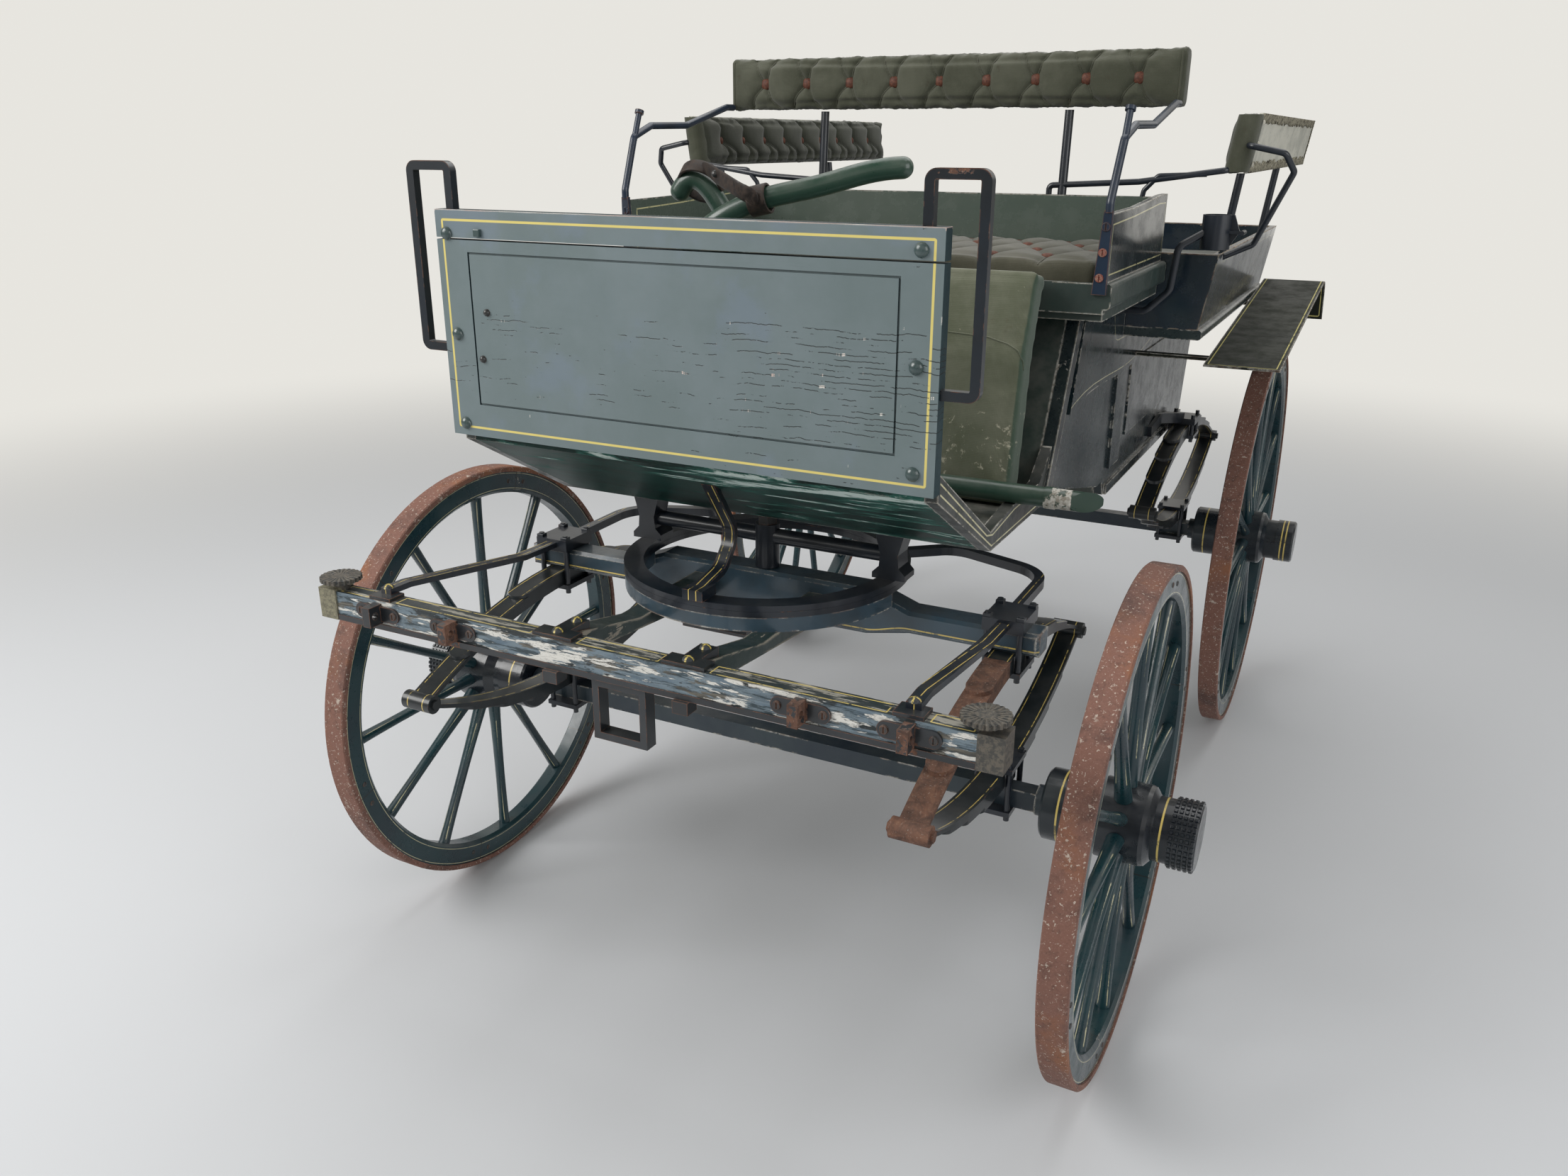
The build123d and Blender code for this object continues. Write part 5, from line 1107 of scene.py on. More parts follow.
# %% [markdown]
# Small ironwork is modelled here: a bolt is a turned head, a nut a square one, and a screw has a
# slot sunk in it. One helper makes a head at the origin, another copies it to each place in a list,
# pointed along a direction. A head keeps its own flat coordinates, for a cross painted on it.

# %% Helpers for new pieces
def to_object(mesh_in_hand, name, finish, body="body", smooth=False):
    """Turn a bmesh into an object that rides on a body."""
    bmesh.ops.recalc_face_normals(mesh_in_hand, faces=mesh_in_hand.faces)
    mesh = bpy.data.meshes.new(name)
    mesh_in_hand.to_mesh(mesh)
    mesh_in_hand.free()
    mesh.materials.append(finish)
    for face in mesh.polygons:
        face.use_smooth = smooth
    made = bpy.data.objects.new(name, mesh)
    scene.collection.objects.link(made)
    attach(made, body)
    return made


def sink_slot(piece, radius, height):
    """Sink a screwdriver slot into the top face of a head."""
    top = max(piece.faces, key=lambda face: face.calc_center_median().z)
    bmesh.ops.inset_individual(piece, faces=[top], thickness=radius * 0.14)
    for cut_x in (-radius * 0.14, radius * 0.14):
        flat = [f for f in piece.faces if f.calc_center_median().z > height * 0.97]
        parts = list({e for f in flat for e in f.edges} | {v for f in flat for v in f.verts}) + flat
        bmesh.ops.bisect_plane(piece, geom=parts, plane_co=(cut_x, 0, 0), plane_no=(1, 0, 0))
    flat = [f for f in piece.faces if f.calc_center_median().z > height * 0.97]
    middle = min(flat, key=lambda face: face.calc_center_median().to_2d().length)
    bmesh.ops.inset_individual(piece, faces=[middle], thickness=radius * 0.02, depth=-height * 0.6)


def head(kind, radius, height):
    """A head standing on the XY plane: round, square, stud or slotted."""
    piece = bmesh.new()
    if kind == "round":
        bmesh.ops.create_uvsphere(piece, u_segments=14, v_segments=8, radius=radius)
        cut = bmesh.ops.bisect_plane(
            piece, geom=piece.verts[:] + piece.edges[:] + piece.faces[:], plane_co=(0, 0, 0),
            plane_no=(0, 0, -1), clear_outer=True,
        )
        rim = [e for e in cut["geom_cut"] if isinstance(e, bmesh.types.BMEdge)]
        bmesh.ops.contextual_create(piece, geom=rim)
        bmesh.ops.scale(piece, vec=(1, 1, height / radius), verts=piece.verts)
    else:
        sides = {"square": 4, "stud": 4, "slotted": 18}[kind]
        narrow = {"stud": 0.66, "slotted": 0.86}.get(kind, 1.0)
        bmesh.ops.create_cone(
            piece, cap_ends=True, segments=sides, radius1=radius, radius2=radius * narrow, depth=height,
            matrix=Matrix.Translation((0, 0, height / 2)) @ Matrix.Rotation(math.pi / 4, 4, "Z"),
        )
        if kind == "square":
            top = [e for e in piece.edges if all(v.co.z > height * 0.9 for v in e.verts)]
            bmesh.ops.bevel(
                piece, geom=top, offset=radius * 0.14, segments=2, profile=0.5, affect="EDGES", material=-1
            )
        if kind == "slotted":
            sink_slot(piece, radius, height)
    flat = piece.loops.layers.uv.new("head")
    for face in piece.faces:
        for corner in face.loops:
            corner[flat].uv = (corner.vert.co.x / radius, corner.vert.co.y / radius)
    return piece


def heads(name, kind, radius, height, places, finish, body="body"):
    """Copies of a bolt head; places are (position, direction) pairs."""
    one = head(kind, radius, height)
    source = bpy.data.meshes.new("one_head")
    one.to_mesh(source)
    one.free()
    together = bmesh.new()
    for position, direction in places:
        before = len(together.verts)
        together.from_mesh(source)
        together.verts.ensure_lookup_table()
        turned = Vector(direction).to_track_quat("Z", "Y").to_matrix().to_4x4()
        bmesh.ops.transform(
            together, matrix=Matrix.Translation(position) @ turned, verts=together.verts[before:]
        )
    bpy.data.meshes.remove(source)
    print(name, len(places))
    return to_object(together, name, finish, body, smooth=kind == "round")


def both_hands(places):
    """Add the mirror image of each place on the other side."""
    mirrored = [((-x, y, z), (-dx, dy, dz)) for (x, y, z), (dx, dy, dz) in places]
    return list(places) + mirrored


DASH_FACE = AXLES["front"][0] - 0.313
UPWARDS = (0, 0, 1)
TO_FRONT = (0, -1, 0)

# %% [markdown]
# Dome-headed bolts hold the dash to its irons, painted over with the dash. Their places were
# measured one by one, because real bolts are never quite level. One lost bolt has left a square nut,
# and two small ones are bare.

# %% Bolts on the dash
bolt_paint = old_paint(
    "bolt_paint", rgb(0.050, 0.082, 0.082), rgb(0.030, 0.058, 0.060), gloss=0.24, coat=0.5, edge=0.10,
    edge_width=0.002, scale=120, dusty=0.1,
)
dash_domes = [
    (-0.401, 1.357), (-0.396, 1.202), (-0.395, 1.057), (0.390, 1.364), (0.389, 1.213), (0.390, 1.0675),
]
heads(
    "dash_bolts", "round", 0.0105, 0.0075, [((x, DASH_FACE, z), TO_FRONT) for x, z in dash_domes], bolt_paint
)
heads("dash_nut", "square", 0.0080, 0.006, [((-0.338, DASH_FACE, 1.3595), TO_FRONT)], bolt_paint)
heads(
    "dash_small_bolts", "round", 0.0060, 0.006,
    [((-0.333, DASH_FACE, 1.239), TO_FRONT), ((-0.348, DASH_FACE, 1.165), TO_FRONT)], iron_rusty,
)

# %% [markdown]
# Each joint between two felloes has a pair of small bolts, flush on both faces of the wheel. The
# caps of the front wheels are knurled: five rings of square studs give a hand or a spanner its grip.

# %% Wheel bolts and knurled caps
FELLOE_FACE = 0.020
CAP_RINGS = 5
CAP_STUDS = 38
CAP_START = 0.0825
CAP_RING_STEP = 0.0086
CAP_RADIUS = 0.0568
for end, (axle_y, axle_z, felloe_radius, spokes) in AXLES.items():
    pitch = 2 * math.pi / spokes
    bolt_radius = felloe_radius - 0.020
    for side, sign in SIDES:
        places = []
        for joint in range(spokes // 2):
            for lean in (-0.024, 0.024):
                angle = pitch / 2 + joint * 2 * pitch + lean / bolt_radius
                y = axle_y + bolt_radius * math.cos(angle)
                z = axle_z + bolt_radius * math.sin(angle)
                for face in (-1, 1):
                    places.append(
                        ((sign * (HALF_TRACKS[end] + face * FELLOE_FACE), y, z), (sign * face, 0, 0))
                    )
        heads(
            f"{end}_{side}_felloe_bolts", "round", 0.0048, 0.0022, places, iron_rusty, f"{end}_{side}_wheel"
        )
for side, sign in SIDES:
    studs = []
    for ring in range(CAP_RINGS):
        out_x = HALF_TRACKS["front"] + CAP_START + ring * CAP_RING_STEP
        for step in range(CAP_STUDS):
            angle = 2 * math.pi * step / CAP_STUDS
            outwards = (0, math.cos(angle), math.sin(angle))
            y = AXLES["front"][0] + CAP_RADIUS * outwards[1]
            z = AXLES["front"][1] + CAP_RADIUS * outwards[2]
            studs.append(((sign * out_x, y, z), outwards))
    heads(
        f"front_{side}_cap_studs", "stud", 0.0046, 0.0026, studs, nave_coat["front"], f"front_{side}_wheel"
    )

# %% [markdown]
# The lugs on the splinter bar are held by slotted screws, the plates on its top by domed bolts that
# somebody once painted with yellow crosses. Square nuts close the spring clips.

# %% Bolts on the splinter bar and clips
BAR_PLATE_FACE = -1.222
lug_screws = []
for lug_x in (0.307, 0.466):
    for reach in (-0.035, 0.035):
        lug_screws.append(((lug_x + reach, BAR_PLATE_FACE, 0.767), TO_FRONT))
heads("lug_screws", "slotted", 0.0068, 0.0026, both_hands(lug_screws), iron_rusty, "front_carriage")

crossed, shader, place = new_finish("crossed_bolts", 0.4, 0.5)
flat_parts = split(wire("ShaderNodeUVMap", tree=place.id_data, uv_map="head"))
arms = [between(absolute(flat_parts[axis]), 0.20, 0.12) for axis in ("X", "Y")]
speckled = between(noise(place, 300, 4, 0.7), 0.40, 0.50)
cross_mask = times(most(*arms), speckled)
iron_mottle = blend(noise(place, 120, 5, 0.7), rgb(0.014, 0.022, 0.030), rgb(0.05, 0.05, 0.052))
feed(shader, {"Base Color": blend(cross_mask, iron_mottle, rgb(0.60, 0.47, 0.12))})
feed(shader, {"Roughness": between(speckled, 0, 1, 0.6, 0.35)})
bump(shader, speckled, 0.3, 0.0005)
plate_bolts = [
    ((0.116, -1.1985, 0.794), UPWARDS), ((0.116, -1.150, 0.794), UPWARDS), ((0.462, -1.194, 0.8035), UPWARDS),
]
heads("plate_bolts", "round", 0.0095, 0.0062, both_hands(plate_bolts), crossed, "front_carriage")

CLIP_TOP = 0.768
clip_nuts = []
for out in (-0.028, 0.028):
    for along in (-0.034, 0.034):
        clip_nuts.append(((SPRING_X["front"] + out, AXLES["front"][0] + along, CLIP_TOP), UPWARDS))
heads("clip_nuts", "square", 0.0095, 0.0060, both_hands(clip_nuts), iron_black, "front_carriage")

# %% [markdown]
# Three slotted screws hold each flat iron of the driver's bench. Two of them have lost their paint
# and rusted red.

# %% Screws in the driver's irons
IRON_FACE = -0.432
screw_rust = mottled(
    "red_rust", 0.75, 0.4, (260, 5, 0.7), (0.38, 0.62), rgb(0.22, 0.05, 0.035), rgb(0.30, 0.17, 0.13),
    0.6, 0.0006,
)[0]
heads(
    "iron_screws", "slotted", 0.0078, 0.0026, both_hands([((0.4825, IRON_FACE, 1.360), TO_FRONT)]),
    iron_blue,
)
heads(
    "rusty_iron_screws", "slotted", 0.0074, 0.0026,
    both_hands([((0.4805, IRON_FACE, 1.318), TO_FRONT), ((0.4785, IRON_FACE, 1.276), TO_FRONT)]), screw_rust,
)

# %% [markdown]
# A strap is a band that bends one way at a time. A grid with one column of points for each place of
# its route becomes one: Solidify gives it thickness, and Subdivision Surface rounds its bends.

# %% Straps
def settle(piece):
    """Apply a piece's modifiers to its mesh."""
    view = bpy.context.evaluated_depsgraph_get()
    made = bpy.data.meshes.new_from_object(piece.evaluated_get(view))
    piece.modifiers.clear()
    old = piece.data
    piece.data = made
    bpy.data.meshes.remove(old)


def strap(name, route, across, width, thick, finish):
    """A band along a route; across is the direction of its width, one for all or one for each point."""
    turns = across if isinstance(across, list) else [across] * len(route)
    band = bmesh.new()
    bmesh.ops.create_grid(band, x_segments=len(route) - 1, y_segments=1, size=1)
    columns = sorted({round(v.co.x, 5) for v in band.verts})
    for vertex in band.verts:
        index = columns.index(round(vertex.co.x, 5))
        half = width / 2 if vertex.co.y > 0 else -width / 2
        vertex.co = Vector(route[index]) + Vector(turns[index]).normalized() * half
    piece = to_object(band, name, finish, smooth=True)
    wall = piece.modifiers.new("wall", "SOLIDIFY")
    wall.thickness = thick
    wall.offset = 0
    smoother = piece.modifiers.new("smoother", "SUBSURF")
    smoother.levels = smoother.render_levels = 3
    settle(piece)


def ring_band(name, centre, along, sideways, half_side, half_up, width, thick, finish):
    """A closed band: a small rectangle spun about an axis, then pressed oval."""
    band = bmesh.new()
    bmesh.ops.create_grid(band, x_segments=1, y_segments=1, size=0.5)
    bmesh.ops.delete(band, geom=band.faces[:], context="FACES_ONLY")
    for vertex in band.verts:
        vertex.co = Vector((1 + vertex.co.x * thick / half_side, 0, vertex.co.y * width))
    bmesh.ops.spin(
        band, geom=band.verts[:] + band.edges[:], cent=(0, 0, 0), axis=(0, 0, 1), angle=2 * math.pi,
        steps=40, use_merge=True,
    )
    along = Vector(along).normalized()
    sideways = (Vector(sideways) - along * Vector(sideways).dot(along)).normalized()
    upways = along.cross(sideways)
    for vertex in band.verts:
        x, y, z = vertex.co
        vertex.co = Vector(centre) + sideways * x * half_side + upways * y * half_up + along * z
    piece = to_object(band, name, finish, smooth=True)
    rim = piece.modifiers.new("rim", "BEVEL")
    rim.width = 0.0010
    rim.segments = 2
    settle(piece)

# %% [markdown]
# The two stowed shafts cross behind the dash, and a leather strap ties them. It goes round the neck of the
# bent one, over a stud, and round the other.

# %% Strap round the shafts
ring_band(
    "shaft_strap_loop", (-0.080, -0.806, 1.4325), (0, -0.73, -0.68), (1, 0, 0), 0.036, 0.034, 0.022, 0.0045,
    leather_finish,
)
ring_band(
    "shaft_strap_band", (0.062, -0.8745, 1.4105), (0.96, 0.14, 0.22), (0, 1, 0), 0.0215, 0.0205, 0.030,
    0.0045, leather_finish,
)
tie = (
    ((-0.062, -0.834, 1.4560), (0.1, -0.66, 0.72)), ((-0.044, -0.846, 1.4520), (0.2, -0.5, 0.8)),
    ((-0.022, -0.862, 1.4440), (0.3, -0.35, 0.9)), ((0.004, -0.880, 1.4370), (0.3, -0.3, 0.9)),
    ((0.030, -0.896, 1.4290), (0.25, -0.3, 0.9)), ((0.052, -0.9015, 1.4200), (0.1, -0.2, 1)),
    ((0.074, -0.8985, 1.4130), (0, -0.1, 1)),
)
tie_route, tie_widths = zip(*tie)
strap("shaft_strap_tie", tie_route, list(tie_widths), 0.028, 0.0045, leather_finish)
heads(
    "shaft_strap_stud", "round", 0.0065, 0.005, [((-0.020, -0.8660, 1.4465), (0.2, -0.9, 0.35))], iron_rusty
)

# %% [markdown]
# A stuffed pad swells between its seams. It is made by simulation: the CAD solid is copied, shrunk a
# little and remeshed, then blown up as cloth under pressure. How far a point may move is capped, more
# so inwards, because the pad has to keep filling its place.

# %% Swell a pad as cloth
CLOTH_FRAMES = 20
MOST_INWARDS = 0.0012


def swollen(name, node_name, voxel, shrink, cap, hand=0, pressure=4.0, finer=1):
    """A new object made from a CAD node, or from its half on one hand, remeshed and blown up as cloth."""
    work = bmesh.new()
    work.from_mesh(nodes[node_name].data)
    bmesh.ops.remove_doubles(work, verts=work.verts, dist=1e-5)
    away = [v for v in work.verts if v.co.x * hand < 0]
    bmesh.ops.delete(work, geom=away, context="VERTS")
    low = Vector([min(v.co[i] for v in work.verts) for i in range(3)])
    high = Vector([max(v.co[i] for v in work.verts) for i in range(3)])
    middle = (low + high) / 2
    ratio = [max(0.2, 1 - 2 * shrink / max(high[i] - low[i], 1e-6)) for i in range(3)]
    bmesh.ops.translate(work, vec=-middle, verts=work.verts)
    bmesh.ops.scale(work, vec=ratio, verts=work.verts)
    bmesh.ops.translate(work, vec=middle, verts=work.verts)
    mesh = bpy.data.meshes.new(name)
    work.to_mesh(mesh)
    work.free()
    pad = bpy.data.objects.new(name, mesh)
    scene.collection.objects.link(pad)
    remesh = pad.modifiers.new("remesh", "REMESH")
    remesh.mode = "VOXEL"
    remesh.voxel_size = voxel
    settle(pad)
    start = [(v.co.copy(), v.normal.copy()) for v in pad.data.vertices]
    cloth = pad.modifiers.new("cloth", "CLOTH").settings
    cloth.use_pressure = True
    cloth.uniform_pressure_force = pressure
    cloth.effector_weights.gravity = 0
    cloth.tension_stiffness = 25
    cloth.compression_stiffness = 25
    cloth.bending_stiffness = 2.0
    for step in range(1, CLOTH_FRAMES + 1):
        scene.frame_set(step)
    settle(pad)
    scene.frame_set(1)
    for vertex, (old, normal) in zip(pad.data.vertices, start):
        move = vertex.co - old
        sunk = min(0.0, move.dot(normal) + MOST_INWARDS)
        move -= normal * sunk
        vertex.co = old + move.normalized() * min(move.length, cap)
    if finer:
        smoother = pad.modifiers.new("finer", "SUBSURF")
        smoother.levels = smoother.render_levels = finer
        settle(pad)
    print(name, "vertices", len(pad.data.vertices))
    return pad

# %% [markdown]
# Buttons pull the cloth in, and creases run from each button to the edges. A crease is a chain of
# short runs. Distance to the nearest one gives the depth, steep beside the crease and round at the top of
# each tuft, and each button adds a dimple. Worn edges are pushed in and out at random.

# %% Tufts
LONGEST_RUN = 0.12
SHOWN_FROM = 0.15
SHOWN_FULLY = 0.65
WORN_BAND = 0.012
BUTTON_SUNK = 0.0025
FOLD_STEP = 0.007


def runs_of(chains):
    """The straight runs that make up a list of chains."""
    return [(a, b) for chain in chains for a, b in zip(chain, chain[1:])]


def fold_distance(u, v, folds):
    """Distance from a point to the nearest fold, each a straight run between two points."""
    best = 1.0
    for (au, av), (bu, bv) in folds:
        if min(abs(u - au), abs(u - bu)) > LONGEST_RUN:
            continue
        run_u, run_v = bu - au, bv - av
        along = ((u - au) * run_u + (v - av) * run_v) / (run_u * run_u + run_v * run_v)
        along = min(1.0, max(0.0, along))
        best = min(best, math.hypot(u - au - along * run_u, v - av - along * run_v))
    return best


def tuft_depth(u, v, folds, buttons, fold_deep, button_deep, fold_wide, button_wide):
    """How far the cloth is pulled in at a point."""
    off = fold_distance(u, v, folds)
    depth = fold_deep * math.exp(-off / fold_wide)
    near = min(math.hypot(u - bu, v - bv) for bu, bv in buttons)
    return depth + button_deep * math.exp(-((near / button_wide) ** 1.3))


def pull_in(pad, to_uv, inwards, faces_out, depth_at):
    """Move the vertices of a pad's show face inwards by the depth of its tufts."""
    normals = [v.normal.copy() for v in pad.data.vertices]
    for vertex, normal in zip(pad.data.vertices, normals):
        shown = normal.dot(faces_out)
        if shown > SHOWN_FROM:
            share = min(1.0, (shown - SHOWN_FROM) / (SHOWN_FULLY - SHOWN_FROM))
            vertex.co += inwards * depth_at(*to_uv(vertex.co)) * share
    pad.data.update()


def roughen(pad, amount, scale=38.0):
    """Push a pad's long edges in and out a little, as worn seams are."""
    low = [min(v.co[i] for v in pad.data.vertices) for i in range(3)]
    high = [max(v.co[i] for v in pad.data.vertices) for i in range(3)]
    normals = [v.normal.copy() for v in pad.data.vertices]
    for vertex, normal in zip(pad.data.vertices, normals):
        to_edge = min(vertex.co.z - low[2], high[2] - vertex.co.z)
        share = max(0.0, 1.0 - to_edge / WORN_BAND)
        vertex.co += normal * amount * share * fractal(vertex.co * scale, 0.6, 2.1, 4)
    pad.data.update()


def pad_tree(pad):
    """A search tree of a pad's faces."""
    corners = [tuple(face.vertices) for face in pad.data.polygons]
    return BVHTree.FromPolygons([v.co for v in pad.data.vertices], corners)


def finish_pad(pad, finish, replaced):
    """Finish a pad, attach it to the body, and hide the CAD node that it replaces."""
    pad.data.materials.clear()
    pad.data.materials.append(finish)
    pad.data.shade_smooth()
    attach(pad, "body")
    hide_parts(replaced)


def buttons_on(name, pad, places, from_point, direction, radius=0.0125):
    """Flattened round buttons seated in a pad where rays meet it."""
    tree_of = pad_tree(pad)
    found = []
    for place in places:
        hit = tree_of.ray_cast(from_point(place), direction)[0]
        if hit:
            found.append((hit - direction * BUTTON_SUNK, tuple(-direction)))
    return heads(name, "round", radius, 0.006, found, button_finish)


def folds_on(name, pad, chains, from_point, direction, finish, radius=0.0011):
    """Thin raised folds laid on a pad along chains of points, each a smooth curve made into a mesh."""
    tree_of = pad_tree(pad)
    curve = bpy.data.curves.new(name, "CURVE")
    curve.dimensions = "3D"
    curve.bevel_depth = radius
    curve.bevel_resolution = 1
    curve.resolution_u = 4
    curve.use_fill_caps = True
    for chain in chains:
        points = []
        for (au, av), (bu, bv) in zip(chain, chain[1:]):
            steps = max(1, round(math.hypot(bu - au, bv - av) / FOLD_STEP))
            for step in range(steps):
                share = step / steps
                place = (au + (bu - au) * share, av + (bv - av) * share)
                hit = tree_of.ray_cast(from_point(place), direction)[0]
                if hit:
                    points.append(hit)
        if len(points) < 3:
            continue
        spline = curve.splines.new("NURBS")
        spline.points.add(len(points) - 1)
        for point, co in zip(spline.points, points):
            point.co = (*co, 1)
        spline.order_u = 3
        spline.use_endpoint_u = True
    made = bpy.data.objects.new(name, curve)
    scene.collection.objects.link(made)
    mesh = bpy.data.meshes.new_from_object(made.evaluated_get(bpy.context.evaluated_depsgraph_get()))
    bpy.data.objects.remove(made)
    piece = bpy.data.objects.new(name, mesh)
    scene.collection.objects.link(piece)
    mesh.materials.append(finish)
    for face in mesh.polygons:
        face.use_smooth = True
    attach(piece, "body")
    print(name, "folds", len(chains))

# %% [markdown]
# The driver's backrest has one row of nine buttons. From each, two creases run up and two run down.
# One of each pair leaves the button slanting and then stands upright; the other does so the other way.

# %% Driver's backrest
low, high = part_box("driver_backrest")
middle_z = (low.z + high.z) / 2
BACK_STEP = 0.10325
BACK_BUTTONS = [(-0.413 + BACK_STEP * n, middle_z) for n in range(9)]
BACK_CREASES = (
    ((-0.11, 0.015), (-0.21, 0.034), (-0.27, 0.051)), ((0.05, 0.012), (0.12, 0.034), (0.26, 0.051)),
    ((-0.20, -0.020), (-0.30, -0.036), (-0.34, -0.052)), ((0.06, -0.014), (0.16, -0.035), (0.34, -0.052)),
)
back_chains = []
for u, v in BACK_BUTTONS:
    for crease in BACK_CREASES:
        back_chains.append([(u, v)] + [(u + out * BACK_STEP, v + up) for out, up in crease])
back_runs = runs_of(back_chains)
backrest = swollen("backrest_pad", "driver_backrest", 0.006, 0.004, 0.010)
pull_in(
    backrest, lambda co: (co.x, co.z), Vector((0, 1, 0)), Vector((0, -1, 0)),
    lambda u, v: tuft_depth(u, v, back_runs, BACK_BUTTONS, 0.0095, 0.008, 0.0062, 0.024),
)
roughen(backrest, 0.0030)
finish_pad(backrest, cloths["olive_cloth"], "driver_backrest")
from_ahead = lambda place: Vector((place[0], low.y - 0.3, place[1]))
TO_REAR = Vector((0, 1, 0))
buttons_on("backrest_buttons", backrest, BACK_BUTTONS, from_ahead, TO_REAR)
# The folds and seams take a lighter copy of the olive cloth, a painted highlight.
folds_on("backrest_folds", backrest, back_chains, from_ahead, TO_REAR, cloths["olive_fold_highlight"], 0.0015)
seam_x = 0.492
seams = [[(x, low.z + 0.004), (x, middle_z), (x, high.z - 0.004)] for x in (-seam_x, seam_x)]
folds_on("backrest_seams", backrest, seams, from_ahead, TO_REAR, cloths["olive_fold_highlight"], 0.0022)

# %% [markdown]
# The driver's cushion is tufted in diamonds: rows of buttons set off by half a step. In front it rolls over,
# with one crease from each button of the first row down to the edge, and a piping under the roll.

# %% Driver's cushion
low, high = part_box("driver_cushion")
ROWS = 4
STEP_X = 0.103
STEP_Y = (high.y - low.y - 0.115) / (ROWS - 1)
cushion_buttons = []
for row in range(ROWS):
    shift = 0 if row % 2 else STEP_X / 2
    for column in range(-5, 6):
        x = column * STEP_X + shift
        if abs(x) < high.x - 0.03:
            cushion_buttons.append((x, low.y + 0.075 + row * STEP_Y))
cushion_chains = []
for u, v in cushion_buttons:
    for lean in (-STEP_X / 2, STEP_X / 2):
        reach = min(high.x - 0.004, max(low.x + 0.004, u + lean))
        if v + STEP_Y < high.y - 0.02:
            side = 0.006 if lean > 0 else -0.006
            middle = ((u + reach) / 2 + side, v + STEP_Y / 2)
            cushion_chains.append([(u, v), middle, (reach, v + STEP_Y)])
    if v - low.y < 0.09:
        cushion_chains.append([(u, v), (u + 0.004, v - 0.03), (u, low.y + 0.004)])
cushion_runs = runs_of(cushion_chains)
cushion = swollen("driver_cushion_pad", "driver_cushion", 0.008, 0.005, 0.009)
pull_in(
    cushion, lambda co: (co.x, co.y), Vector((0, 0, -1)), Vector((0, 0, 1)),
    lambda u, v: tuft_depth(u, v, cushion_runs, cushion_buttons, 0.008, 0.006, 0.011, 0.034),
)
finish_pad(cushion, cloths["cushion_cloth"], "driver_cushion")
from_above = lambda place: Vector((place[0], place[1], high.z + 0.3))
DOWN = Vector((0, 0, -1))
buttons_on("cushion_buttons", cushion, cushion_buttons, from_above, DOWN)
folds_on("cushion_folds", cushion, cushion_chains, from_above, DOWN, cloths["cushion_cloth"], 0.0016)
from_before = lambda place: Vector((place[0], low.y - 0.2, place[1]))
PIPING = ((-0.466, 0.012), (-0.23, 0.010), (0, 0.012), (0.23, 0.010), (0.466, 0.012))
piping = [(x, low.z + up) for x, up in PIPING]
folds_on("cushion_piping", cushion, [piping], from_before, TO_REAR, cloths["cushion_cloth"], 0.0032)

# %% [markdown]
# The padded apron in front of the driver's bench is one soft slab. Its side is greener than its face, which
# the sun has faded, and darker, which is painted shade. A fold crosses it where it bends over the bench's
# edge.

# %% Apron
apron = swollen("apron_pad", "apron", 0.009, 0.003, 0.008, pressure=2.0)
finish_pad(apron, apron_cloth, "apron")
low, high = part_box("apron")
from_before = lambda place: Vector((place[0], low.y - 0.2, place[1]))
APRON_FOLD = [
    (0.10, 1.187), (0.24, 1.184), (0.322, 1.180), (0.358, 1.171), (0.378, 1.160), (0.386, 1.142),
    (0.388, 1.12),
]
folds_on("apron_fold", apron, [APRON_FOLD], from_before, TO_REAR, apron_cloth, 0.0016)

# %% [markdown]
# The rear benches have plain stuffed cushions. Their side rests are tufted on the inside only: above each
# button one crease bends down to it, and below it two bend away, one inside the other.

# %% Rear cushions and side rests
low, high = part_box("side_rests")
rest_middle = (low.z + high.z) / 2
REST_STEP = 0.111
REST_OUT = 0.638
REST_LEAN = 0.14
rest_buttons = [(low.y + 0.100 + REST_STEP * n, rest_middle) for n in range(10)]
REST_CREASES = (
    ((-0.02, 0.016), (0.00, 0.032), (-0.10, 0.044), (-0.30, 0.053)),
    ((0.16, -0.014), (0.22, -0.030), (0.12, -0.053)),
    ((0.26, -0.010), (0.52, -0.022), (0.66, -0.036), (0.56, -0.053)),
)
rest_chains = []
for u, v in rest_buttons:
    for crease in REST_CREASES:
        chain = [(u, v)] + [(u + along * REST_STEP, v + up) for along, up in crease]
        rest_chains.append([(min(a, high.y - 0.006), b) for a, b in chain])
rest_runs = runs_of(rest_chains)
for side, sign in SIDES:
    pad = swollen(f"bench_pad_{side}", "bench_cushions", 0.010, 0.005, 0.012, hand=sign, finer=0)
    finish_pad(pad, cloths["bench_cloth"], "bench_cushions")
    rest = swollen(f"rest_pad_{side}", "side_rests", 0.006, 0.003, 0.008, hand=sign)
    inwards = Vector((sign, 0, 0))
    pull_in(
        rest, lambda co: (co.y, co.z), inwards, -inwards,
        lambda u, v: tuft_depth(u, v, rest_runs, rest_buttons, 0.0075, 0.010, 0.008, 0.018),
    )
    roughen(rest, 0.0035)
    for vertex in rest.data.vertices:
        limit = REST_OUT - 0.006 + (vertex.co.z - rest_middle) * REST_LEAN
        vertex.co.x = sign * min(vertex.co.x * sign, limit)
    finish_pad(rest, cloths["bench_cloth"], "side_rests")
    from_well = lambda place, sign=sign: Vector((sign * 0.4, place[0], place[1]))
    # The folds take a darker copy of the bench cloth, painted shade in the creases.
    folds_on(f"rest_folds_{side}", rest, rest_chains, from_well, inwards, cloths["bench_fold_shade"])
    buttons_on(f"rest_buttons_{side}", rest, rest_buttons, from_well, inwards, 0.0100)

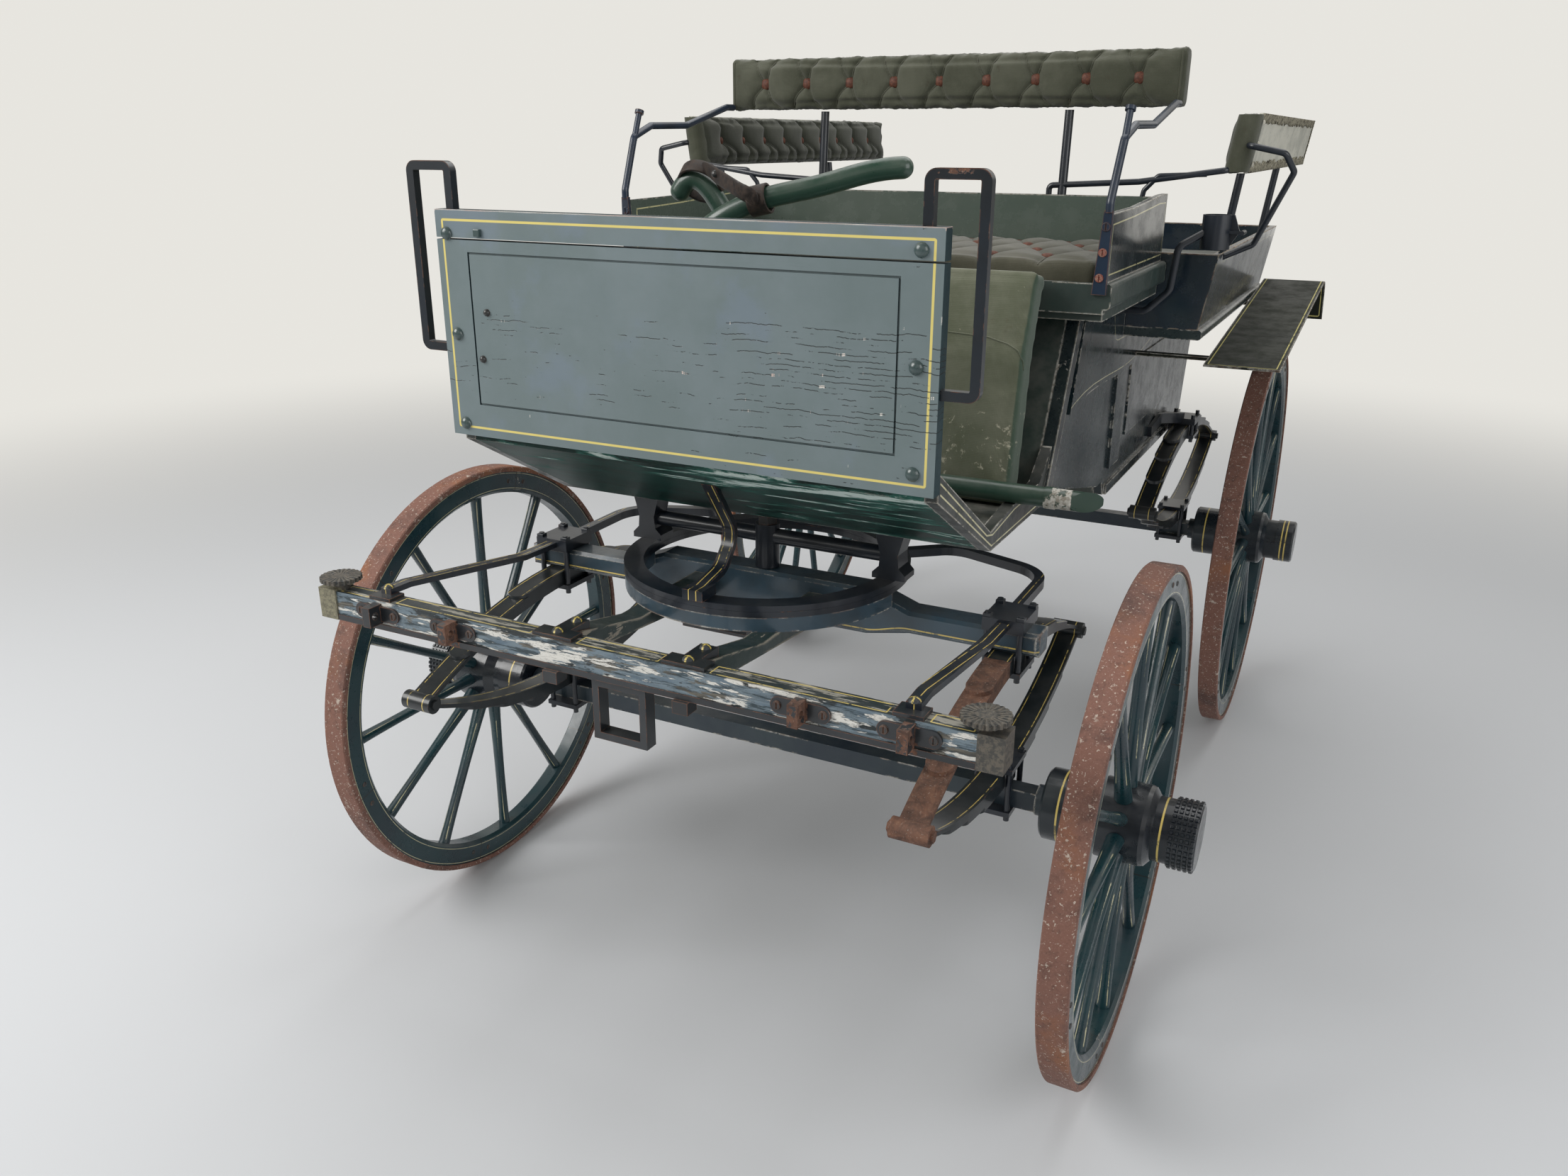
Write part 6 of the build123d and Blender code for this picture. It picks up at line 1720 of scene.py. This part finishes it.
# %% [markdown]
# Outside, each side rest is a painted board gone chalky grey. The cloth was turned over its edges and
# tacked, and is torn to a ragged border now. In front, a strip of cloth closes the end under three nails.

# %% Backs of the side rests
chalky, shader, place = new_finish("chalky_board", 0.85, 0.3)
washed = noise(stretch(place, (1, 0.6, 1)), 18, 6, 0.62)
colour = blend(between(washed, 0.34, 0.68), rgb(0.57, 0.56, 0.49), rgb(0.41, 0.41, 0.36))
stained = between(noise(place, 70, 7, 0.72), 0.60, 0.68, 0.0, 0.7)
colour = blend(stained, colour, rgb(0.10, 0.09, 0.07))
feed(shader, {"Base Color": colour})
bump(shader, noise(place, 150, 5, 0.7), 0.4, 0.0008)

torn, shader, place = new_finish("torn_edge", 0.95, 0.2)
shreds = noise(place, 120, 8, 0.75, 0.4)
colour = blend(between(shreds, 0.42, 0.52), rgb(0.060, 0.052, 0.040), rgb(0.30, 0.28, 0.21))
colour = blend(between(shreds, 0.60, 0.64), colour, rgb(0.55, 0.52, 0.42))
feed(shader, {"Base Color": colour})
bump(shader, shreds, 0.9, 0.0016)


TEARS = 110


def ragged_strip(name, start, end, inwards, outwards, width, seed):
    """A strip of torn cloth along an edge; its inner side is ragged and its surface lumpy."""
    chance = random.Random(seed)
    strip = bmesh.new()
    bmesh.ops.create_grid(strip, x_segments=TEARS, y_segments=3, size=1)
    tears = [0.55 + 0.45 * chance.random() for _ in range(TEARS + 1)]
    start, end = Vector(start), Vector(end)
    for vertex in strip.verts:
        share = (vertex.co.x + 1) / 2
        deep = (vertex.co.y + 1) / 2 * tears[round(share * TEARS)]
        vertex.co = start.lerp(end, share) + Vector(inwards) * width * deep
        vertex.co += Vector(outwards) * (0.0006 + 0.0016 * chance.random())
    piece = to_object(strip, name, torn, smooth=True)
    wall = piece.modifiers.new("wall", "SOLIDIFY")
    wall.thickness = 0.0016
    wall.offset = 0
    settle(piece)


REST_END = (
    (0.598, 0.100), (0.594, 0.074), (0.600, 0.056), (0.616, 0.050), (0.632, 0.055), (0.6405, 0.072),
    (0.6410, 0.096),
)
for side, sign in SIDES:
    board = bmesh.new()
    bmesh.ops.create_cube(board, size=1)
    bmesh.ops.scale(board, vec=(0.008, high.y - low.y - 0.030, high.z - low.z - 0.003), verts=board.verts)
    bmesh.ops.bevel(
        board, geom=board.edges[:], offset=0.0015, segments=2, profile=0.5, affect="EDGES", material=-1
    )
    for vertex in board.verts:
        x, y, z = vertex.co
        out_x = REST_OUT - 0.004 + x + z * REST_LEAN
        vertex.co = Vector((sign * out_x, y + (low.y + high.y) / 2 + 0.014, z + rest_middle))
    to_object(board, f"rest_board_{side}", chalky)
    top, bottom = high.z - 0.002, low.z + 0.002
    top_x = sign * (REST_OUT + (top - rest_middle) * REST_LEAN)
    low_x = sign * (REST_OUT + (bottom - rest_middle) * REST_LEAN)
    out = (sign, 0, 0)
    lean_down = (-sign * REST_LEAN, 0, -1)
    lean_up = (sign * REST_LEAN, 0, 1)
    top_rear, low_rear = (top_x, high.y - 0.002, top), (low_x, high.y - 0.002, bottom)
    ragged_strip(f"rest_torn_top_{side}", (top_x, low.y + 0.03, top), top_rear, lean_down, out, 0.020, 3)
    ragged_strip(f"rest_torn_low_{side}", (low_x, low.y + 0.03, bottom), low_rear, lean_up, out, 0.022, 5)
    ragged_strip(f"rest_torn_rear_{side}", low_rear, top_rear, (0, -1, 0), out, 0.014, 8)
    end_route = [(sign * x, y, rest_middle) for x, y in REST_END]
    strap(
        f"rest_end_{side}", end_route, Vector((sign * REST_LEAN, 0, 1)), high.z - low.z + 0.002, 0.0022,
        cloths["olive_cloth"],
    )
    nails = []
    for z in (1.4525, 1.4900, 1.5290):
        nails.append(((sign * (0.6430 + (z - rest_middle) * REST_LEAN), 0.083, z), (sign, 0, 0)))
    heads(f"rest_nails_{side}", "round", 0.0052, 0.0036, nails, nail_finish)

# %% [markdown]
# The floor is plain and pale, and keeps the soft shadow. Far from the carriage it takes the colour of
# the wall for the camera, so that no hard line crosses the picture.

# %% Floor
ground = bmesh.new()
bmesh.ops.create_grid(ground, x_segments=1, y_segments=1, size=14)
floor_mesh = bpy.data.meshes.new("floor")
ground.to_mesh(floor_mesh)
ground.free()
floor = bpy.data.objects.new("floor", floor_mesh)
scene.collection.objects.link(floor)
floor_finish, shader, place = new_finish("floor_pale", 0.6, 0.3)
feed(shader, {"Base Color": rgb(0.62, 0.635, 0.66)})
floor_parts = split(place)
far_off = between(hypotenuse(floor_parts["X"], floor_parts["Y"]), 2.6, 6.5)
seen_far = times(far_off, wire("ShaderNodeLightPath", out="Is Camera Ray", tree=place.id_data))
wall_light = wire("ShaderNodeEmission", {"Color": (*PALE_WALL, 1), "Strength": 1.0}, tree=place.id_data)
mixed = wire("ShaderNodeMixShader", {0: seen_far, 1: shader.outputs[0], 2: wall_light})
feed(place.id_data.nodes["Material Output"], {"Surface": mixed})
floor_mesh.materials.append(floor_finish)
